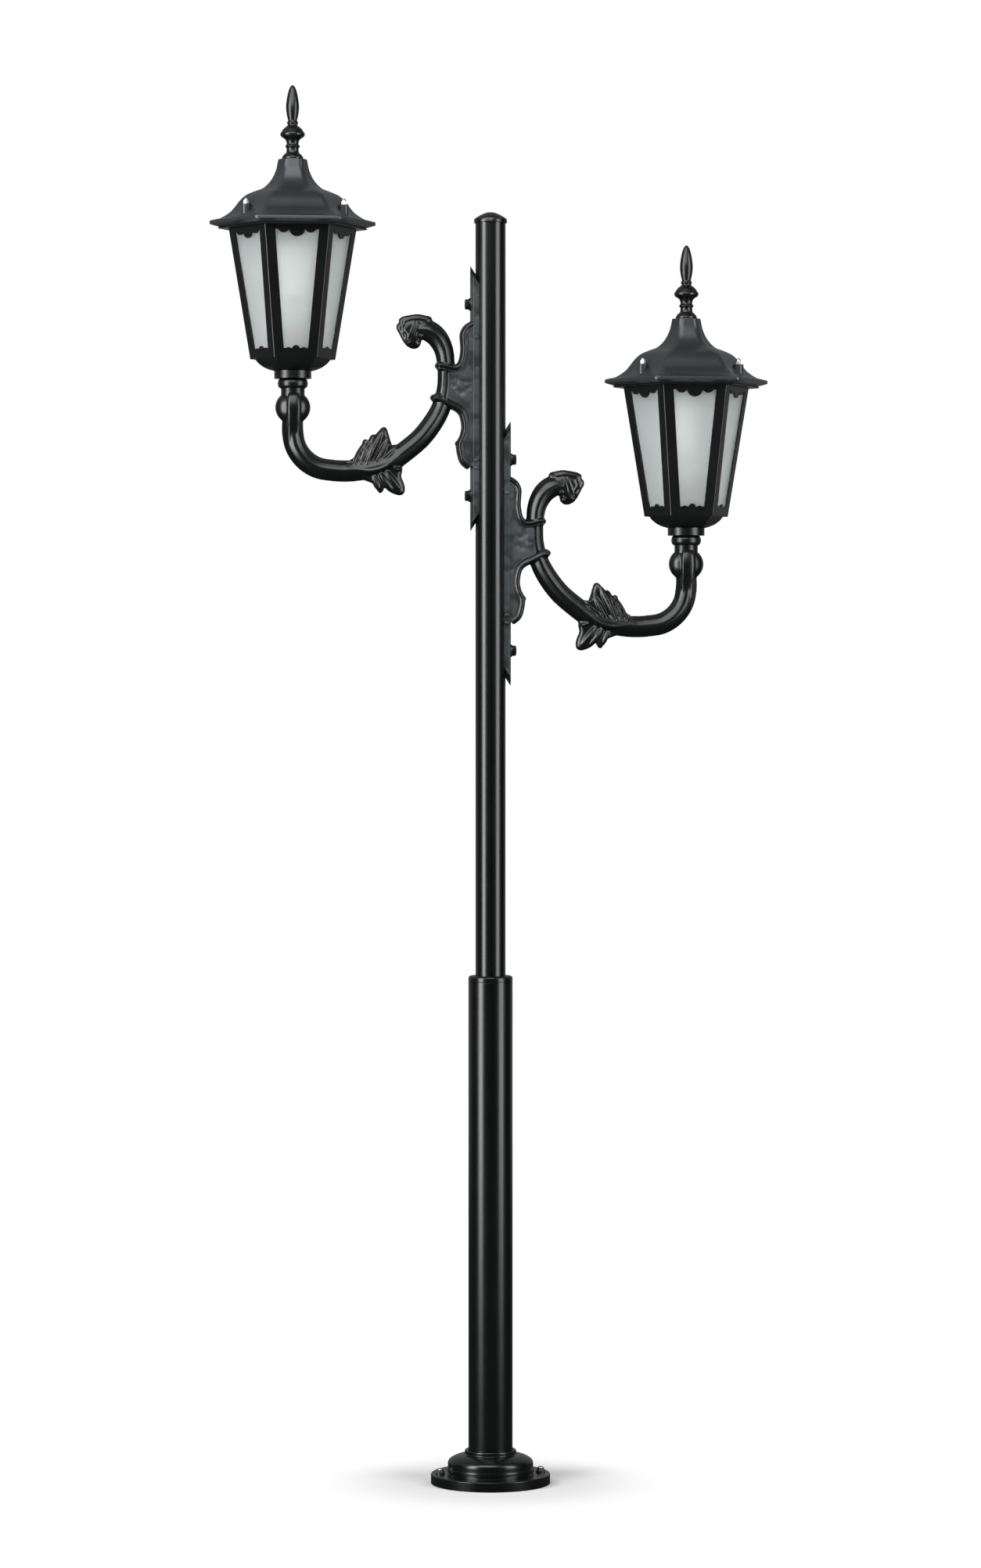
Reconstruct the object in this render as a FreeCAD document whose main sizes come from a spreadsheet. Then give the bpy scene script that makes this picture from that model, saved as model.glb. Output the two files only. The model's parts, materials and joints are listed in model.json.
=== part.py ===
import FreeCAD, Part

import math
import os
import re

import Sketcher

from FreeCAD import Placement, Rotation, Vector

# Garden lamp post with two arms and two hexagonal lanterns.
# Z points up, the origin is on the ground under the middle of the post.
# The arms reach along X, and each lantern's corners point along X too.

# Driving dimensions in millimetres: alias, value, meaning
SIZES = [
    ("lower_tube_radius", 44.45, "lower tube, outside"),
    ("lower_tube_wall", 3.6, "lower tube, wall"),
    ("upper_tube_radius", 30.15, "upper tube, outside"),
    ("upper_tube_wall", 3.2, "upper tube, wall"),
    ("shoulder_height", 1023, "top of the reducer ring above the ground"),
    ("tube_overlap", 200, "upper tube inside the lower tube"),
    ("post_top", 2531, "top edge of the upper tube"),
    ("seat_gap", 0.3, "gap between curved faces that sit in each other"),
    ("fit_gap", 0.06, "radial clearance of threads and of the turning collar"),
    ("overrun", 2, "how far a cut runs past the face it opens"),
    ("reducer_rim", 12, "reducer ring above the lower tube"),
    ("reducer_slope", 3.5, "bevel on the reducer's outer edge"),
    ("reducer_depth", 45, "reducer ring inside the lower tube"),
    ("spacer_depth", 40, "spacer ring, length"),
    ("spacer_ledge", 8, "ledge under the upper tube"),
    ("spacer_bore", 20, "cable hole in the spacer ring"),
    ("cap_radius", 33, "post cap, outside"),
    ("cap_rim", 8.3, "post cap, height of the rim"),
    ("cap_crown", 14, "post cap, height of the dome"),
    ("cap_spigot", 35, "post cap, length inside the tube"),
    ("cap_spigot_wall", 3, "post cap, wall of the spigot"),
    ("foot_radius", 120, "foot disc, outside"),
    ("foot_thickness", 20, "foot disc, thickness"),
    ("foot_edge", 1.5, "bevel on the foot disc's upper edge"),
    ("step_radius", 85.5, "raised step under the cover"),
    ("step_height", 4, "raised step, height"),
    ("socket_depth", 12, "depth of the tube's socket in the foot"),
    ("cable_entry_radius", 30, "cable entry through the foot"),
    ("anchor_offset", 101.5, "anchor holes from the post's axis"),
    ("anchor_hole_radius", 5, "anchor holes"),
    ("anchor_washer_radius", 9.5, "anchor washer, outside"),
    ("anchor_washer_thickness", 2.5, "anchor washer, thickness"),
    ("anchor_thread_radius", 4, "thread of the anchor cap nut"),
    ("anchor_nut_radius", 7.5, "anchor cap nut, across corners, half"),
    ("anchor_nut_height", 6.5, "anchor cap nut, hexagon"),
    ("anchor_dome_radius", 5.6, "anchor cap nut, dome"),
    ("anchor_dome_height", 3.2, "anchor cap nut, dome above the hexagon"),
    ("cover_radius", 87.4, "cover, outside of the foot band"),
    ("cover_band", 7, "cover, height of the foot band"),
    ("cover_inset", 1.6, "cover, step above the foot band"),
    ("cover_side", 18, "cover, height of the upright side"),
    ("cover_shoulder", 34, "cover, height of the shoulder's inner end"),
    ("cover_neck_radius", 60, "cover, where the shoulder meets the collar"),
    ("cover_collar_radius", 51.8, "cover, outside of the collar"),
    ("cover_height", 44, "cover, whole height"),
    ("cover_wall", 4, "cover, wall"),
    ("cover_clearance", 1, "cover's collar to the tube"),
    ("grub_radius", 2.5, "grub screws of the cover and of the lantern collars"),
    ("grub_rise", 39.5, "grub screws above the cover's foot"),
    ("reach", 397, "post axis to lantern axis"),
    ("left_plate_height", 2180, "middle of the left saddle above the ground"),
    ("right_plate_height", 1870, "middle of the right saddle above the ground"),
    ("saddle_wall", 10.35, "saddle plate, thickness"),
    ("saddle_half_width", 18, "saddle plate, half of its width"),
    ("saddle_half_height", 265.5, "saddle plate, half of its height"),
    ("saddle_tip_drop", 20, "saddle plate, height of each pointed end"),
    ("bolt_rise", 188.5, "upper bracket bolt above the saddle's middle"),
    ("bolt_drop", 194.5, "lower bracket bolt below the saddle's middle"),
    ("bolt_radius", 6, "bracket bolt, shank"),
    ("bolt_clearance", 0.6, "bracket bolt to its hole in the saddle"),
    ("bolt_head_radius", 10.4, "bracket bolt, across corners, half"),
    ("bolt_head_height", 7.5, "bracket bolt, head"),
    ("bracket_washer_radius", 12, "bracket washer, outside"),
    ("bracket_washer_thickness", 2.5, "bracket washer, thickness"),
    ("pad_proud", 0.6, "washer seat above the saddle plate"),
    ("insert_radius", 9, "threaded insert through the tube wall"),
    ("insert_collar_radius", 11, "threaded insert, collar inside the tube"),
    ("insert_collar", 7, "threaded insert, length of the collar"),
    ("grommet_radius", 8, "cable grommet, outside"),
    ("grommet_bore", 4.5, "cable grommet, bore"),
    ("grommet_lip", 2.2, "cable grommet, lip inside the tube"),
    ("grommet_lip_depth", 3, "cable grommet, thickness of the lip"),
    ("web_thickness", 16, "web plate between saddle and arm"),
    ("rib_width", 12, "ribs along the web's edges, seen from the side"),
    ("rib_depth", 26, "ribs along the web's edges, across"),
    ("arm_drop", 144, "arm's lowest axis point below the saddle's middle"),
    ("arm_half_thickness", 22, "arm, half of its thickness in the arm's plane"),
    ("arm_half_breadth", 20, "arm, half of its breadth across the arm's plane"),
    ("arm_bore", 5, "cable bore through the arm"),
    ("bend_radius", 76, "arm's bend under the lantern"),
    ("sweep_radius", 184, "arm's long bend towards the post"),
    ("exit_radius", 28, "last bend of the cable bore"),
    ("arm_waist", 90, "post axis to the arm's nearest axis point"),
    ("leaf_thickness", 20, "leaf clusters, across the arm's plane"),
    ("bud_half_width", 23, "bud at the end of the scroll"),
    ("bud_half_height", 34, "bud at the end of the scroll"),
    ("knuckle_radius", 35.3, "ball under the lantern"),
    ("knuckle_half_height", 33, "ball under the lantern"),
    ("neck_radius", 23.5, "neck above the ball"),
    ("ring_radius", 29.9, "torus ring above the neck"),
    ("ring_height", 18.7, "torus ring"),
    ("knuckle_drop", -20, "ball's middle above the saddle's middle"),
    ("ring_seat_radius", 26, "flat seat on the torus ring"),
    ("lantern_rise", 37.6, "lantern's foot above the saddle's middle"),
    ("spigot_radius", 20, "spigot in the lantern's collar"),
    ("spigot_height", 11, "spigot in the lantern's collar"),
    ("screw_rise", 6, "collar screws above the collar's foot"),
    ("collar_radius", 37, "lantern collar, outside"),
    ("collar_height", 15, "lantern collar, height"),
    ("collar_floor", 3, "lantern collar, thickness of its top"),
    ("stem_radius", 11, "threaded stem on the collar"),
    ("stem_bore", 7, "cable hole in the stem"),
    ("stem_height", 9.5, "threaded stem on the collar"),
    ("stem_nut_radius", 15.5, "ring nut on the stem, across corners, half"),
    ("stem_nut_height", 6, "ring nut on the stem"),
    ("bowl_foot_radius", 40, "bowl, lower corner radius"),
    ("bowl_rim_radius", 75.5, "bowl, upper corner radius"),
    ("bowl_height", 23, "bowl, height"),
    ("bowl_wall", 3, "bowl, wall"),
    ("bowl_lip", 17, "bowl, inward lip under the cage"),
    ("bowl_screw_radius", 2, "bowl screws, shank"),
    ("bowl_screw_head", 3.5, "bowl screws, head"),
    ("bowl_screw_head_height", 2.4, "bowl screws, head"),
    ("bowl_screw_offset", 57.5, "bowl screws from the lantern's axis"),
    ("cage_foot_radius", 85.5, "cage, lower corner radius"),
    ("cage_top_radius", 128.5, "cage, upper corner radius"),
    ("cage_height", 262, "cage, height"),
    ("cage_wall", 3, "cage, wall"),
    ("cage_flange", 3, "cage, thickness of its two flanges"),
    ("cage_flange_width", 24.5, "cage, inward flange at its foot"),
    ("cage_corner", 20, "cage, width of each corner leg"),
    ("cage_foot_rail", 18, "cage, height of the foot rail"),
    ("cage_top_rail", 12, "cage, height of the top rail"),
    ("top_ledge", 19.9, "cage, top flange beyond its upper corner radius"),
    ("stud_inset", 16.5, "roof studs inside the cage's upper corner radius"),
    ("stud_radius", 3, "roof studs"),
    ("stud_clearance", 0.4, "roof studs to the bosses' holes"),
    ("valance_lobe", 16, "middle lobe of the valance"),
    ("valance_small_lobe", 12.5, "side lobes of the valance"),
    ("valance_lift", 2, "middle lobe's centre above the window"),
    ("valance_small_lift", 6, "side lobes' centres above the window"),
    ("sill_sink", 1, "middle hump's centre below the window"),
    ("sill_small_sink", 4, "side humps' centres below the window"),
    ("sill_hump", 7, "middle hump of the foot rail"),
    ("sill_small_hump", 6, "side humps of the foot rail"),
    ("pane_thickness", 4, "glass panes"),
    ("pane_overlap", 7, "glass panes behind the cage's legs"),
    ("clip_width", 14, "pane clips"),
    ("clip_height", 12, "pane clips"),
    ("clip_thickness", 2, "pane clips"),
    ("roof_overhang", 39.5, "roof's rim beyond the cage's upper corner radius"),
    ("roof_height", 130.6, "roof, rim to platform"),
    ("roof_rim", 7.4, "roof, thickness of the rim"),
    ("roof_wall", 3, "roof, wall"),
    ("lip_wall", 2, "roof, wall of the sloping lip under its rim"),
    ("lip_width", 3.7, "roof, flat foot of the lip"),
    ("roof_gap", 5.4, "roof's rim above the cage"),
    ("boss_radius", 10, "roof bosses"),
    ("boss_height", 41.5, "roof bosses above the cage"),
    ("cap_nut_radius", 5.8, "roof cap nuts, across corners, half"),
    ("cap_nut_height", 6.5, "roof cap nuts, hexagon"),
    ("cap_nut_dome", 4.7, "roof cap nuts, dome"),
    ("cap_nut_dome_height", 6, "roof cap nuts, dome above the hexagon"),
    ("stud_end", 8, "roof studs above the bosses"),
    ("finial_height", 147.5, "finial above the roof's platform"),
    ("finial_ball_radius", 24.6, "finial, ball"),
    ("finial_bolt_radius", 5, "finial, threaded end under the roof"),
    ("finial_bolt_length", 11, "finial, threaded end under the roof"),
    ("finial_nut_radius", 9, "nut under the roof, across corners, half"),
    ("finial_nut_height", 6, "nut under the roof"),
    ("holder_bracket_width", 30, "lampholder bracket"),
    ("holder_bracket_span", 44, "lampholder bracket, outside of its legs"),
    ("holder_bracket_height", 30, "lampholder bracket"),
    ("holder_bracket_foot", 10, "lampholder bracket, each foot"),
    ("holder_bracket_sheet", 2, "lampholder bracket"),
    ("holder_radius", 24, "lampholder, outside"),
    ("holder_height", 53, "lampholder, height"),
    ("holder_socket_depth", 41, "lampholder, depth of its socket"),
    ("holder_mouth_radius", 18, "lampholder, widened mouth"),
    ("bulb_cap_radius", 13, "bulb cap"),
    ("bulb_cap_height", 27, "bulb cap"),
    ("bulb_radius", 30, "bulb, globe"),
    ("bulb_height", 80, "bulb above its cap"),
    ("block_length", 24, "terminal block"),
    ("block_depth", 13, "terminal block"),
    ("block_height", 15, "terminal block"),
]

FULL_TURN = 360
QUARTER_TURN = 90
HEX_SIDES = 6
HEX_STEP = FULL_TURN / HEX_SIDES
SIDE_AZIMUTHS = (("left", 180), ("right", 0))
BOSS_AZIMUTHS = (90, 210, 330)
GRUB_AZIMUTHS = (60, 120)
BOWL_SCREWS = 3
EXIT_TURN = 15

# Cross-section of a roof from rim to platform: radius share, height share
ROOF_SHARES = [
    (1.0, 0.057), (0.858, 0.103), (0.756, 0.188), (0.697, 0.273), (0.639, 0.368), (0.565, 0.452),
    (0.4625, 0.51), (0.36, 0.563), (0.271, 0.678), (0.214, 0.823), (0.191, 0.9525), (0.184, 1.0),
]

# Side of the bowl from its foot to its rim: share of the widening, height share
BOWL_SHARES = [(0.0, 0.0), (0.4, 0.24), (0.7, 0.5), (0.9, 0.78), (1.0, 1.0)]

# Axis of the arm from the lantern to the bud: share of the reach, share of the drop, thickness share
ARM_SHARES = [
    (1.0, 0.097, 0.9), (1.0, -0.2, 1.0), (1.0, -0.472, 1.0), (0.9855, -0.674, 1.0), (0.944, -0.845, 1.0),
    (0.882, -0.96, 1.0), (0.8085, -1.0, 1.0), (0.718, -1.01, 1.0), (0.5975, -0.9625, 1.0),
    (0.5125, -0.8825, 1.0), (0.428, -0.722, 0.98), (0.351, -0.538, 0.97), (0.29, -0.32, 0.95),
    (0.25, -0.11, 0.9), (0.2292, 0.125, 0.84), (0.2254, 0.3125, 0.8), (0.2277, 0.486, 0.77),
    (0.236, 0.669, 0.77), (0.266, 0.8417, 0.75), (0.3106, 0.9688, 0.72), (0.363, 1.02, 0.68),
    (0.403, 0.98, 0.6),
]
ARM_CUTS = 2
ARM_SIDES = 8

# Middle lines of the two ribs: share of the reach, share of the drop
UPPER_RIB_SHARES = [
    (0.286, 0.461), (0.258, 0.451), (0.211, 0.417), (0.163, 0.435), (0.1365, 0.5125), (0.1285, 0.675),
    (0.138, 0.885), (0.107, 1.028),
]
LOWER_RIB_SHARES = [
    (0.3106, 0.006), (0.258, -0.024), (0.2093, -0.092), (0.165, -0.147), (0.135, -0.22), (0.1237, -0.385),
    (0.135, -0.524), (0.155, -0.647), (0.147, -0.792), (0.1325, -0.89), (0.1, -0.964),
]

# Round knob at each rib's end: radius as a share of the rib's half width
KNOB_SHARE = 1.5

# Outlines of the leaf clusters: share of the reach, share of the drop
UPPER_LEAF_SHARES = [
    (0.76, -0.97), (0.722, -0.825), (0.672, -0.677), (0.666, -0.587), (0.648, -0.567), (0.633, -0.61),
    (0.622, -0.517), (0.605, -0.504), (0.584, -0.557), (0.5655, -0.435), (0.55, -0.405), (0.528, -0.4465),
    (0.509, -0.585), (0.4917, -0.6555), (0.5, -0.86), (0.6, -0.98),
]
LOWER_LEAF_SHARES = [
    (0.7, -1.05), (0.6587, -1.148), (0.613, -1.181), (0.586, -1.29), (0.568, -1.312), (0.548, -1.238),
    (0.514, -1.303), (0.478, -1.344), (0.449, -1.299), (0.4456, -1.209), (0.4645, -1.041), (0.467, -0.968),
    (0.4418, -0.907), (0.5, -0.86), (0.6, -0.95),
]

# Bud: share of the reach, share of the drop
BUD_SHARES = (0.4215, 0.9)

# Saddle's pointed end: share of the half width, share of the tip's drop
OGEE_SHARES = [(1.0, 1.0), (0.82, 0.96), (0.55, 0.74), (0.3, 0.5), (0.12, 0.24), (0.0, 0.0)]

# Cover between its upright side and its collar: share of the way in, share of the way up
SHOULDER_SHARES = [(0.0, 0.0), (0.18, 0.6), (0.58, 0.97), (1.0, 1.0)]

# Bulb between cap and tip: radius share, height share
BULB_SHARES = [(0.44, 0.0), (0.5, 0.14), (0.78, 0.33), (0.97, 0.52), (1.0, 0.64), (0.94, 0.78), (0.7, 0.92)]

# Finial from its foot to its tip: share of the ball's radius, height share
FINIAL_SHARES = [
    (0.862, 0.0), (0.862, 0.026), (0.841, 0.033), (0.74, 0.056), (0.589, 0.077), (0.528, 0.089),
    (0.488, 0.121), (0.5, 0.15), (0.553, 0.161), (0.606, 0.1735), (0.545, 0.186), (0.496, 0.198),
    (0.484, 0.218), (0.553, 0.251), (0.606, 0.2665), (0.72, 0.283), (0.882, 0.299), (0.967, 0.315),
    (1.0, 0.3315), (0.984, 0.348), (0.919, 0.3635), (0.829, 0.388), (0.732, 0.412), (0.553, 0.4365),
    (0.423, 0.453), (0.394, 0.4685), (0.459, 0.489), (0.423, 0.502), (0.37, 0.521), (0.394, 0.542),
    (0.459, 0.59), (0.504, 0.639), (0.528, 0.687), (0.524, 0.7355), (0.488, 0.784), (0.451, 0.8325),
    (0.39, 0.881), (0.313, 0.9295), (0.228, 0.962), (0.179, 0.9775), (0.065, 0.994), (0.0, 1.0),
]

# Lobes of the valance and humps of the foot rail: place as a share of the window's half width
LOBE_PLACE_SHARE = 0.62
HUMP_PLACE_SHARE = 0.62

doc = FreeCAD.newDocument("garden_lamp_post")
sheet = doc.addObject("Spreadsheet::Sheet", "Sizes")
for row, (alias, value, meaning) in enumerate(SIZES, start=1):
    sheet.set("A" + str(row), meaning)
    sheet.set("B" + str(row), str(value))
    sheet.setAlias("B" + str(row), alias)
doc.recompute()

ALIASES = {alias for alias, value, meaning in SIZES}
ORIGIN = Vector(0, 0, 0)
ACROSS = Vector(1, 0, 0)
BACK = Vector(0, 1, 0)
UP = Vector(0, 0, 1)
COS_HALF_STEP = math.cos(math.radians(HEX_STEP / 2))
PIECES = []


def bound(text):
    """Write an expression of plain size names as one that reads the sheet."""
    return re.sub(r"[a-z_]+", lambda name: "Sizes." + name[0] if name[0] in ALIASES else name[0], text)


def number(text):
    """The value of an expression of plain size names."""
    return float(sheet.evalExpression(bound(text)))


def piece(label, kind="PartDesign::Body"):
    """Start a sub-part whose label is also its node and file name."""
    item = doc.addObject(kind, label)
    item.Label = label
    PIECES.append(item)
    return item


def move(item, across="0", up="0", turn=0):
    """Place a sub-part, with its place bound to the sheet."""
    item.Placement = Placement(ORIGIN, Rotation(UP, turn))
    item.setExpression("Placement.Base.x", bound(across))
    item.setExpression("Placement.Base.z", bound(up))


def plane(body, role):
    """Find one of a body's own origin planes."""
    return next(item for item in body.Origin.OriginFeatures if item.Role == role)


def solid(body, kind, up, across="0", back="0", rotation=Rotation(), **sizes):
    """Add or cut one primitive that stands on the body's base plane, at a place bound to the sheet."""
    feature = body.newObject("PartDesign::" + kind, kind)
    feature.AttachmentSupport = [(plane(body, "XY_Plane"), "")]
    feature.MapMode = "FlatFace"
    feature.AttachmentOffset = Placement(ORIGIN, rotation)
    if kind.endswith("Prism"):
        feature.Polygon = HEX_SIDES
    if kind.endswith("Ellipsoid"):
        feature.Angle3 = FULL_TURN
    for name, text in sizes.items():
        feature.setExpression(name, bound(text))
    for name, text in (("x", across), ("y", back), ("z", up)):
        feature.setExpression("AttachmentOffset.Base." + name, bound(text))
    return feature


def radial(azimuth):
    """The rotation that lays a primitive's own axis along an azimuth."""
    return Rotation(UP, azimuth) * Rotation(BACK, QUARTER_TURN)


def turned(body, outline):
    """Revolve a closed outline of (radius, height) expressions about the body's axis."""
    sketch = body.newObject("Sketcher::SketchObject", "Outline")
    sketch.AttachmentSupport = [(plane(body, "XZ_Plane"), "")]
    sketch.MapMode = "FlatFace"
    corners = [Vector(number(radius), number(height), 0) for radius, height in outline]
    for index, corner in enumerate(corners):
        sketch.addGeometry(Part.LineSegment(corner, corners[(index + 1) % len(corners)]), False)
    for index, (radius, height) in enumerate(outline):
        before = (index - 1) % len(outline)
        sketch.addConstraint(Sketcher.Constraint("Coincident", before, 2, index, 1))
        places = (("DistanceX", radius, corners[index].x), ("DistanceY", height, corners[index].y))
        for kind, text, value in places:
            constraint = sketch.addConstraint(Sketcher.Constraint(kind, -1, 1, index, 1, value))
            sketch.setExpression("Constraints[" + str(constraint) + "]", bound(text))
    revolution = body.newObject("PartDesign::Revolution", "Turned")
    revolution.Profile = sketch
    revolution.ReferenceAxis = (sketch, ["V_Axis"])
    return revolution


def shaped(label, shape):
    """Make a sub-part from a shape that Part's own functions built."""
    item = piece(label, "Part::Feature")
    item.Shape = shape
    return item


def copies(label, source, places):
    """Make one sub-part of like solids, each a copy of the source body."""
    doc.recompute()
    source.Visibility = False
    solids = [source.Shape.transformed(place.toMatrix(), True) for place in places]
    return shaped(label, Part.makeCompound(solids))


def cylinder(radius, low, high, place=Placement()):
    """A cylinder along the Z axis of a placement."""
    shape = Part.makeCylinder(radius, high - low, Vector(0, 0, low))
    shape.Placement = place
    return shape


def block(low, high):
    """A box between two corners."""
    return Part.makeBox(high.x - low.x, high.y - low.y, high.z - low.z, low)


def ellipsoid(centre, half_width, half_height):
    """A ball drawn out or flattened along the Z axis."""
    stretch = FreeCAD.Matrix()
    stretch.scale(1, 1, half_height / half_width)
    shape = Part.makeSphere(half_width).transformGeometry(stretch)
    shape.translate(centre)
    return shape


def stack(rings):
    """A solid with flat faces through rings of points, from the lowest ring to the highest."""
    faces = [Part.Face(Part.makePolygon(ring + ring[:1])) for ring in (rings[0], rings[-1])]
    for lower, upper in zip(rings, rings[1:]):
        for index in range(len(lower)):
            after = (index + 1) % len(lower)
            corners = [lower[index], lower[after], upper[after], upper[index]]
            faces.append(Part.Face(Part.makePolygon(corners + corners[:1])))
    return Part.makeSolid(Part.makeShell(faces))


def hexagon(radius, height):
    """The corners of a level hexagon, two of them on the X axis."""
    angles = [math.radians(HEX_STEP * index) for index in range(HEX_SIDES)]
    return [Vector(radius * math.cos(angle), radius * math.sin(angle), height) for angle in angles]


def hex_stack(profile):
    """A hexagonal solid through (corner radius, height) pairs."""
    return stack([hexagon(radius, height) for radius, height in profile])


def around(count=HEX_SIDES, start=HEX_STEP / 2):
    """Placements turned evenly about the Z axis."""
    return [Placement(ORIGIN, Rotation(UP, start + index * FULL_TURN / count)) for index in range(count)]


def at(place, x, z):
    """A placement moved out along its own X axis and up."""
    return place.multiply(Placement(Vector(x, 0, z), Rotation()))


# Heights and radii that several pieces share, as expressions of the sizes
FOOT_TOP = "foot_thickness + step_height"
LOWER_BORE = "lower_tube_radius - lower_tube_wall"
UPPER_BORE = "upper_tube_radius - upper_tube_wall"
SADDLE_BORE = "upper_tube_radius + seat_gap"
WASHER_SEAT = SADDLE_BORE + " + saddle_wall + pad_proud"
BOLT_SEAT = WASHER_SEAT + " + bracket_washer_thickness"
INSERT_FACE = "sqrt((" + UPPER_BORE + ")^2 - insert_collar_radius^2) - seat_gap"
INSERT_END = "sqrt((" + SADDLE_BORE + ")^2 - insert_radius^2) - seat_gap"
GROMMET_FACE = "sqrt((" + UPPER_BORE + ")^2 - (grommet_radius + grommet_lip)^2) - seat_gap"
GROMMET_END = "sqrt((" + SADDLE_BORE + ")^2 - grommet_radius^2) - seat_gap"
TUBE_HOLE = "insert_radius + seat_gap"
GROMMET_HOLE = "grommet_radius + seat_gap"
BOWL_FOOT = "collar_height"
CAGE_FOOT = "collar_height + bowl_height"
CAGE_TOP = CAGE_FOOT + " + cage_height"
ROOF_FOOT = CAGE_TOP + " + roof_gap"
BOSS_TOP = CAGE_TOP + " + boss_height"
STUD_OFFSET = "cage_top_radius - stud_inset"
ROOF_RADIUS = "cage_top_radius + roof_overhang"
LEDGE_RADIUS = "cage_top_radius + top_ledge"
PLATFORM = ROOF_FOOT + " + roof_height"
HOLDER_FOOT = "collar_height + bowl_wall + holder_bracket_height"
COLLAR_BORE = "lower_tube_radius + cover_clearance"
INSERT_START = INSERT_FACE + " - insert_collar"
BOLT_RISES = ("bolt_rise", "-bolt_drop")
EXIT_SINE = "sin(" + str(EXIT_TURN) + ")"
CABLE_RISE = "sweep_radius + exit_radius - arm_drop - (sweep_radius + exit_radius) * " + EXIT_SINE


# Post
tube_foot = FOOT_TOP + " - socket_depth"
lower_tube = piece("lower_tube")
length = "shoulder_height - reducer_rim - (" + tube_foot + ")"
solid(lower_tube, "AdditiveCylinder", tube_foot, Radius="lower_tube_radius", Height=length)
solid(lower_tube, "SubtractiveCylinder", tube_foot, Radius=LOWER_BORE, Height=length)

upper_tube = piece("upper_tube")
tube_foot = "shoulder_height - tube_overlap"
length = "post_top - (" + tube_foot + ")"
solid(upper_tube, "AdditiveCylinder", tube_foot, Radius="upper_tube_radius", Height=length)
solid(upper_tube, "SubtractiveCylinder", tube_foot, Radius=UPPER_BORE, Height=length)
for side, azimuth in SIDE_AZIMUTHS:
    holes = (("bolt_rise", TUBE_HOLE), ("-bolt_drop", TUBE_HOLE), (CABLE_RISE, GROMMET_HOLE))
    for rise, radius in holes:
        height = side + "_plate_height + " + rise
        solid(upper_tube, "SubtractiveCylinder", height, rotation=radial(azimuth),
              Radius=radius, Height="upper_tube_radius + overrun")

reducer_ring = piece("reducer_ring")
rim_foot = "shoulder_height - reducer_rim"
slope_foot = "shoulder_height - reducer_slope"
solid(reducer_ring, "AdditiveCylinder", rim_foot, Radius="lower_tube_radius",
      Height="reducer_rim - reducer_slope")
solid(reducer_ring, "AdditiveCone", slope_foot, Radius1="lower_tube_radius",
      Radius2="lower_tube_radius - reducer_slope", Height="reducer_slope")
solid(reducer_ring, "AdditiveCylinder", rim_foot + " - reducer_depth", Radius=LOWER_BORE + " - seat_gap",
      Height="reducer_depth")
solid(reducer_ring, "SubtractiveCylinder", rim_foot + " - reducer_depth",
      Radius="upper_tube_radius + seat_gap", Height="reducer_depth + reducer_rim")

spacer_ring = piece("spacer_ring")
spacer_foot = "shoulder_height - tube_overlap - spacer_ledge"
solid(spacer_ring, "AdditiveCylinder", spacer_foot, Radius=LOWER_BORE + " - seat_gap", Height="spacer_depth")
solid(spacer_ring, "SubtractiveCylinder", spacer_foot, Radius="spacer_bore", Height="spacer_depth")
solid(spacer_ring, "SubtractiveCylinder", spacer_foot + " + spacer_ledge",
      Radius="upper_tube_radius + seat_gap", Height="spacer_depth")

post_cap = piece("post_cap")
solid(post_cap, "AdditiveCylinder", "post_top - cap_spigot", Radius=UPPER_BORE + " - seat_gap",
      Height="cap_spigot")
solid(post_cap, "SubtractiveCylinder", "post_top - cap_spigot",
      Radius=UPPER_BORE + " - seat_gap - cap_spigot_wall", Height="cap_spigot")
solid(post_cap, "AdditiveCylinder", "post_top", Radius="cap_radius", Height="cap_rim")
dome = solid(post_cap, "AdditiveEllipsoid", "post_top + cap_rim", Radius1="cap_crown", Radius2="cap_radius")
dome.Radius3 = 0
dome.Angle1 = 0

base_flange = piece("base_flange")
solid(base_flange, "AdditiveCylinder", "0", Radius="foot_radius", Height="foot_thickness - foot_edge")
solid(base_flange, "AdditiveCone", "foot_thickness - foot_edge", Radius1="foot_radius",
      Radius2="foot_radius - foot_edge", Height="foot_edge")
solid(base_flange, "AdditiveCylinder", "foot_thickness", Radius="step_radius", Height="step_height")
solid(base_flange, "SubtractiveCylinder", "0", Radius="cable_entry_radius", Height=FOOT_TOP)
solid(base_flange, "SubtractiveCylinder", FOOT_TOP + " - socket_depth",
      Radius="lower_tube_radius + seat_gap", Height="socket_depth")
for across in ("anchor_offset", "-anchor_offset"):
    solid(base_flange, "SubtractiveCylinder", "0", across, Radius="anchor_hole_radius",
          Height="foot_thickness")

base_cover = piece("base_cover")
side_radius = "cover_radius - cover_inset"
way_in = "(" + side_radius + " - cover_neck_radius)"
way_up = "(cover_shoulder - cover_side)"
shoulder = [(side_radius + " - " + str(share) + " * " + way_in, "cover_side + " + str(rise) + " * " + way_up)
            for share, rise in SHOULDER_SHARES]
outside = [("cover_radius", "0"), ("cover_radius", "cover_band"), (side_radius, "cover_band + cover_inset")]
outside += shoulder
outside += [("cover_collar_radius", "cover_shoulder + cover_inset"),
            ("cover_collar_radius", "cover_height - cover_inset"),
            ("cover_collar_radius - cover_inset", "cover_height")]
inside = [(COLLAR_BORE, "cover_height"), (COLLAR_BORE, "cover_shoulder - cover_wall")]
inside += [(radius + " - cover_wall", height + " - cover_wall") for radius, height in reversed(shoulder)]
inside += [(side_radius + " - cover_wall", "0")]
turned(base_cover, outside + inside)
for azimuth in GRUB_AZIMUTHS:
    solid(base_cover, "SubtractiveCylinder", "grub_rise", rotation=radial(azimuth),
          Radius="grub_radius + fit_gap", Height="cover_radius")
move(base_cover, up=FOOT_TOP)

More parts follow.
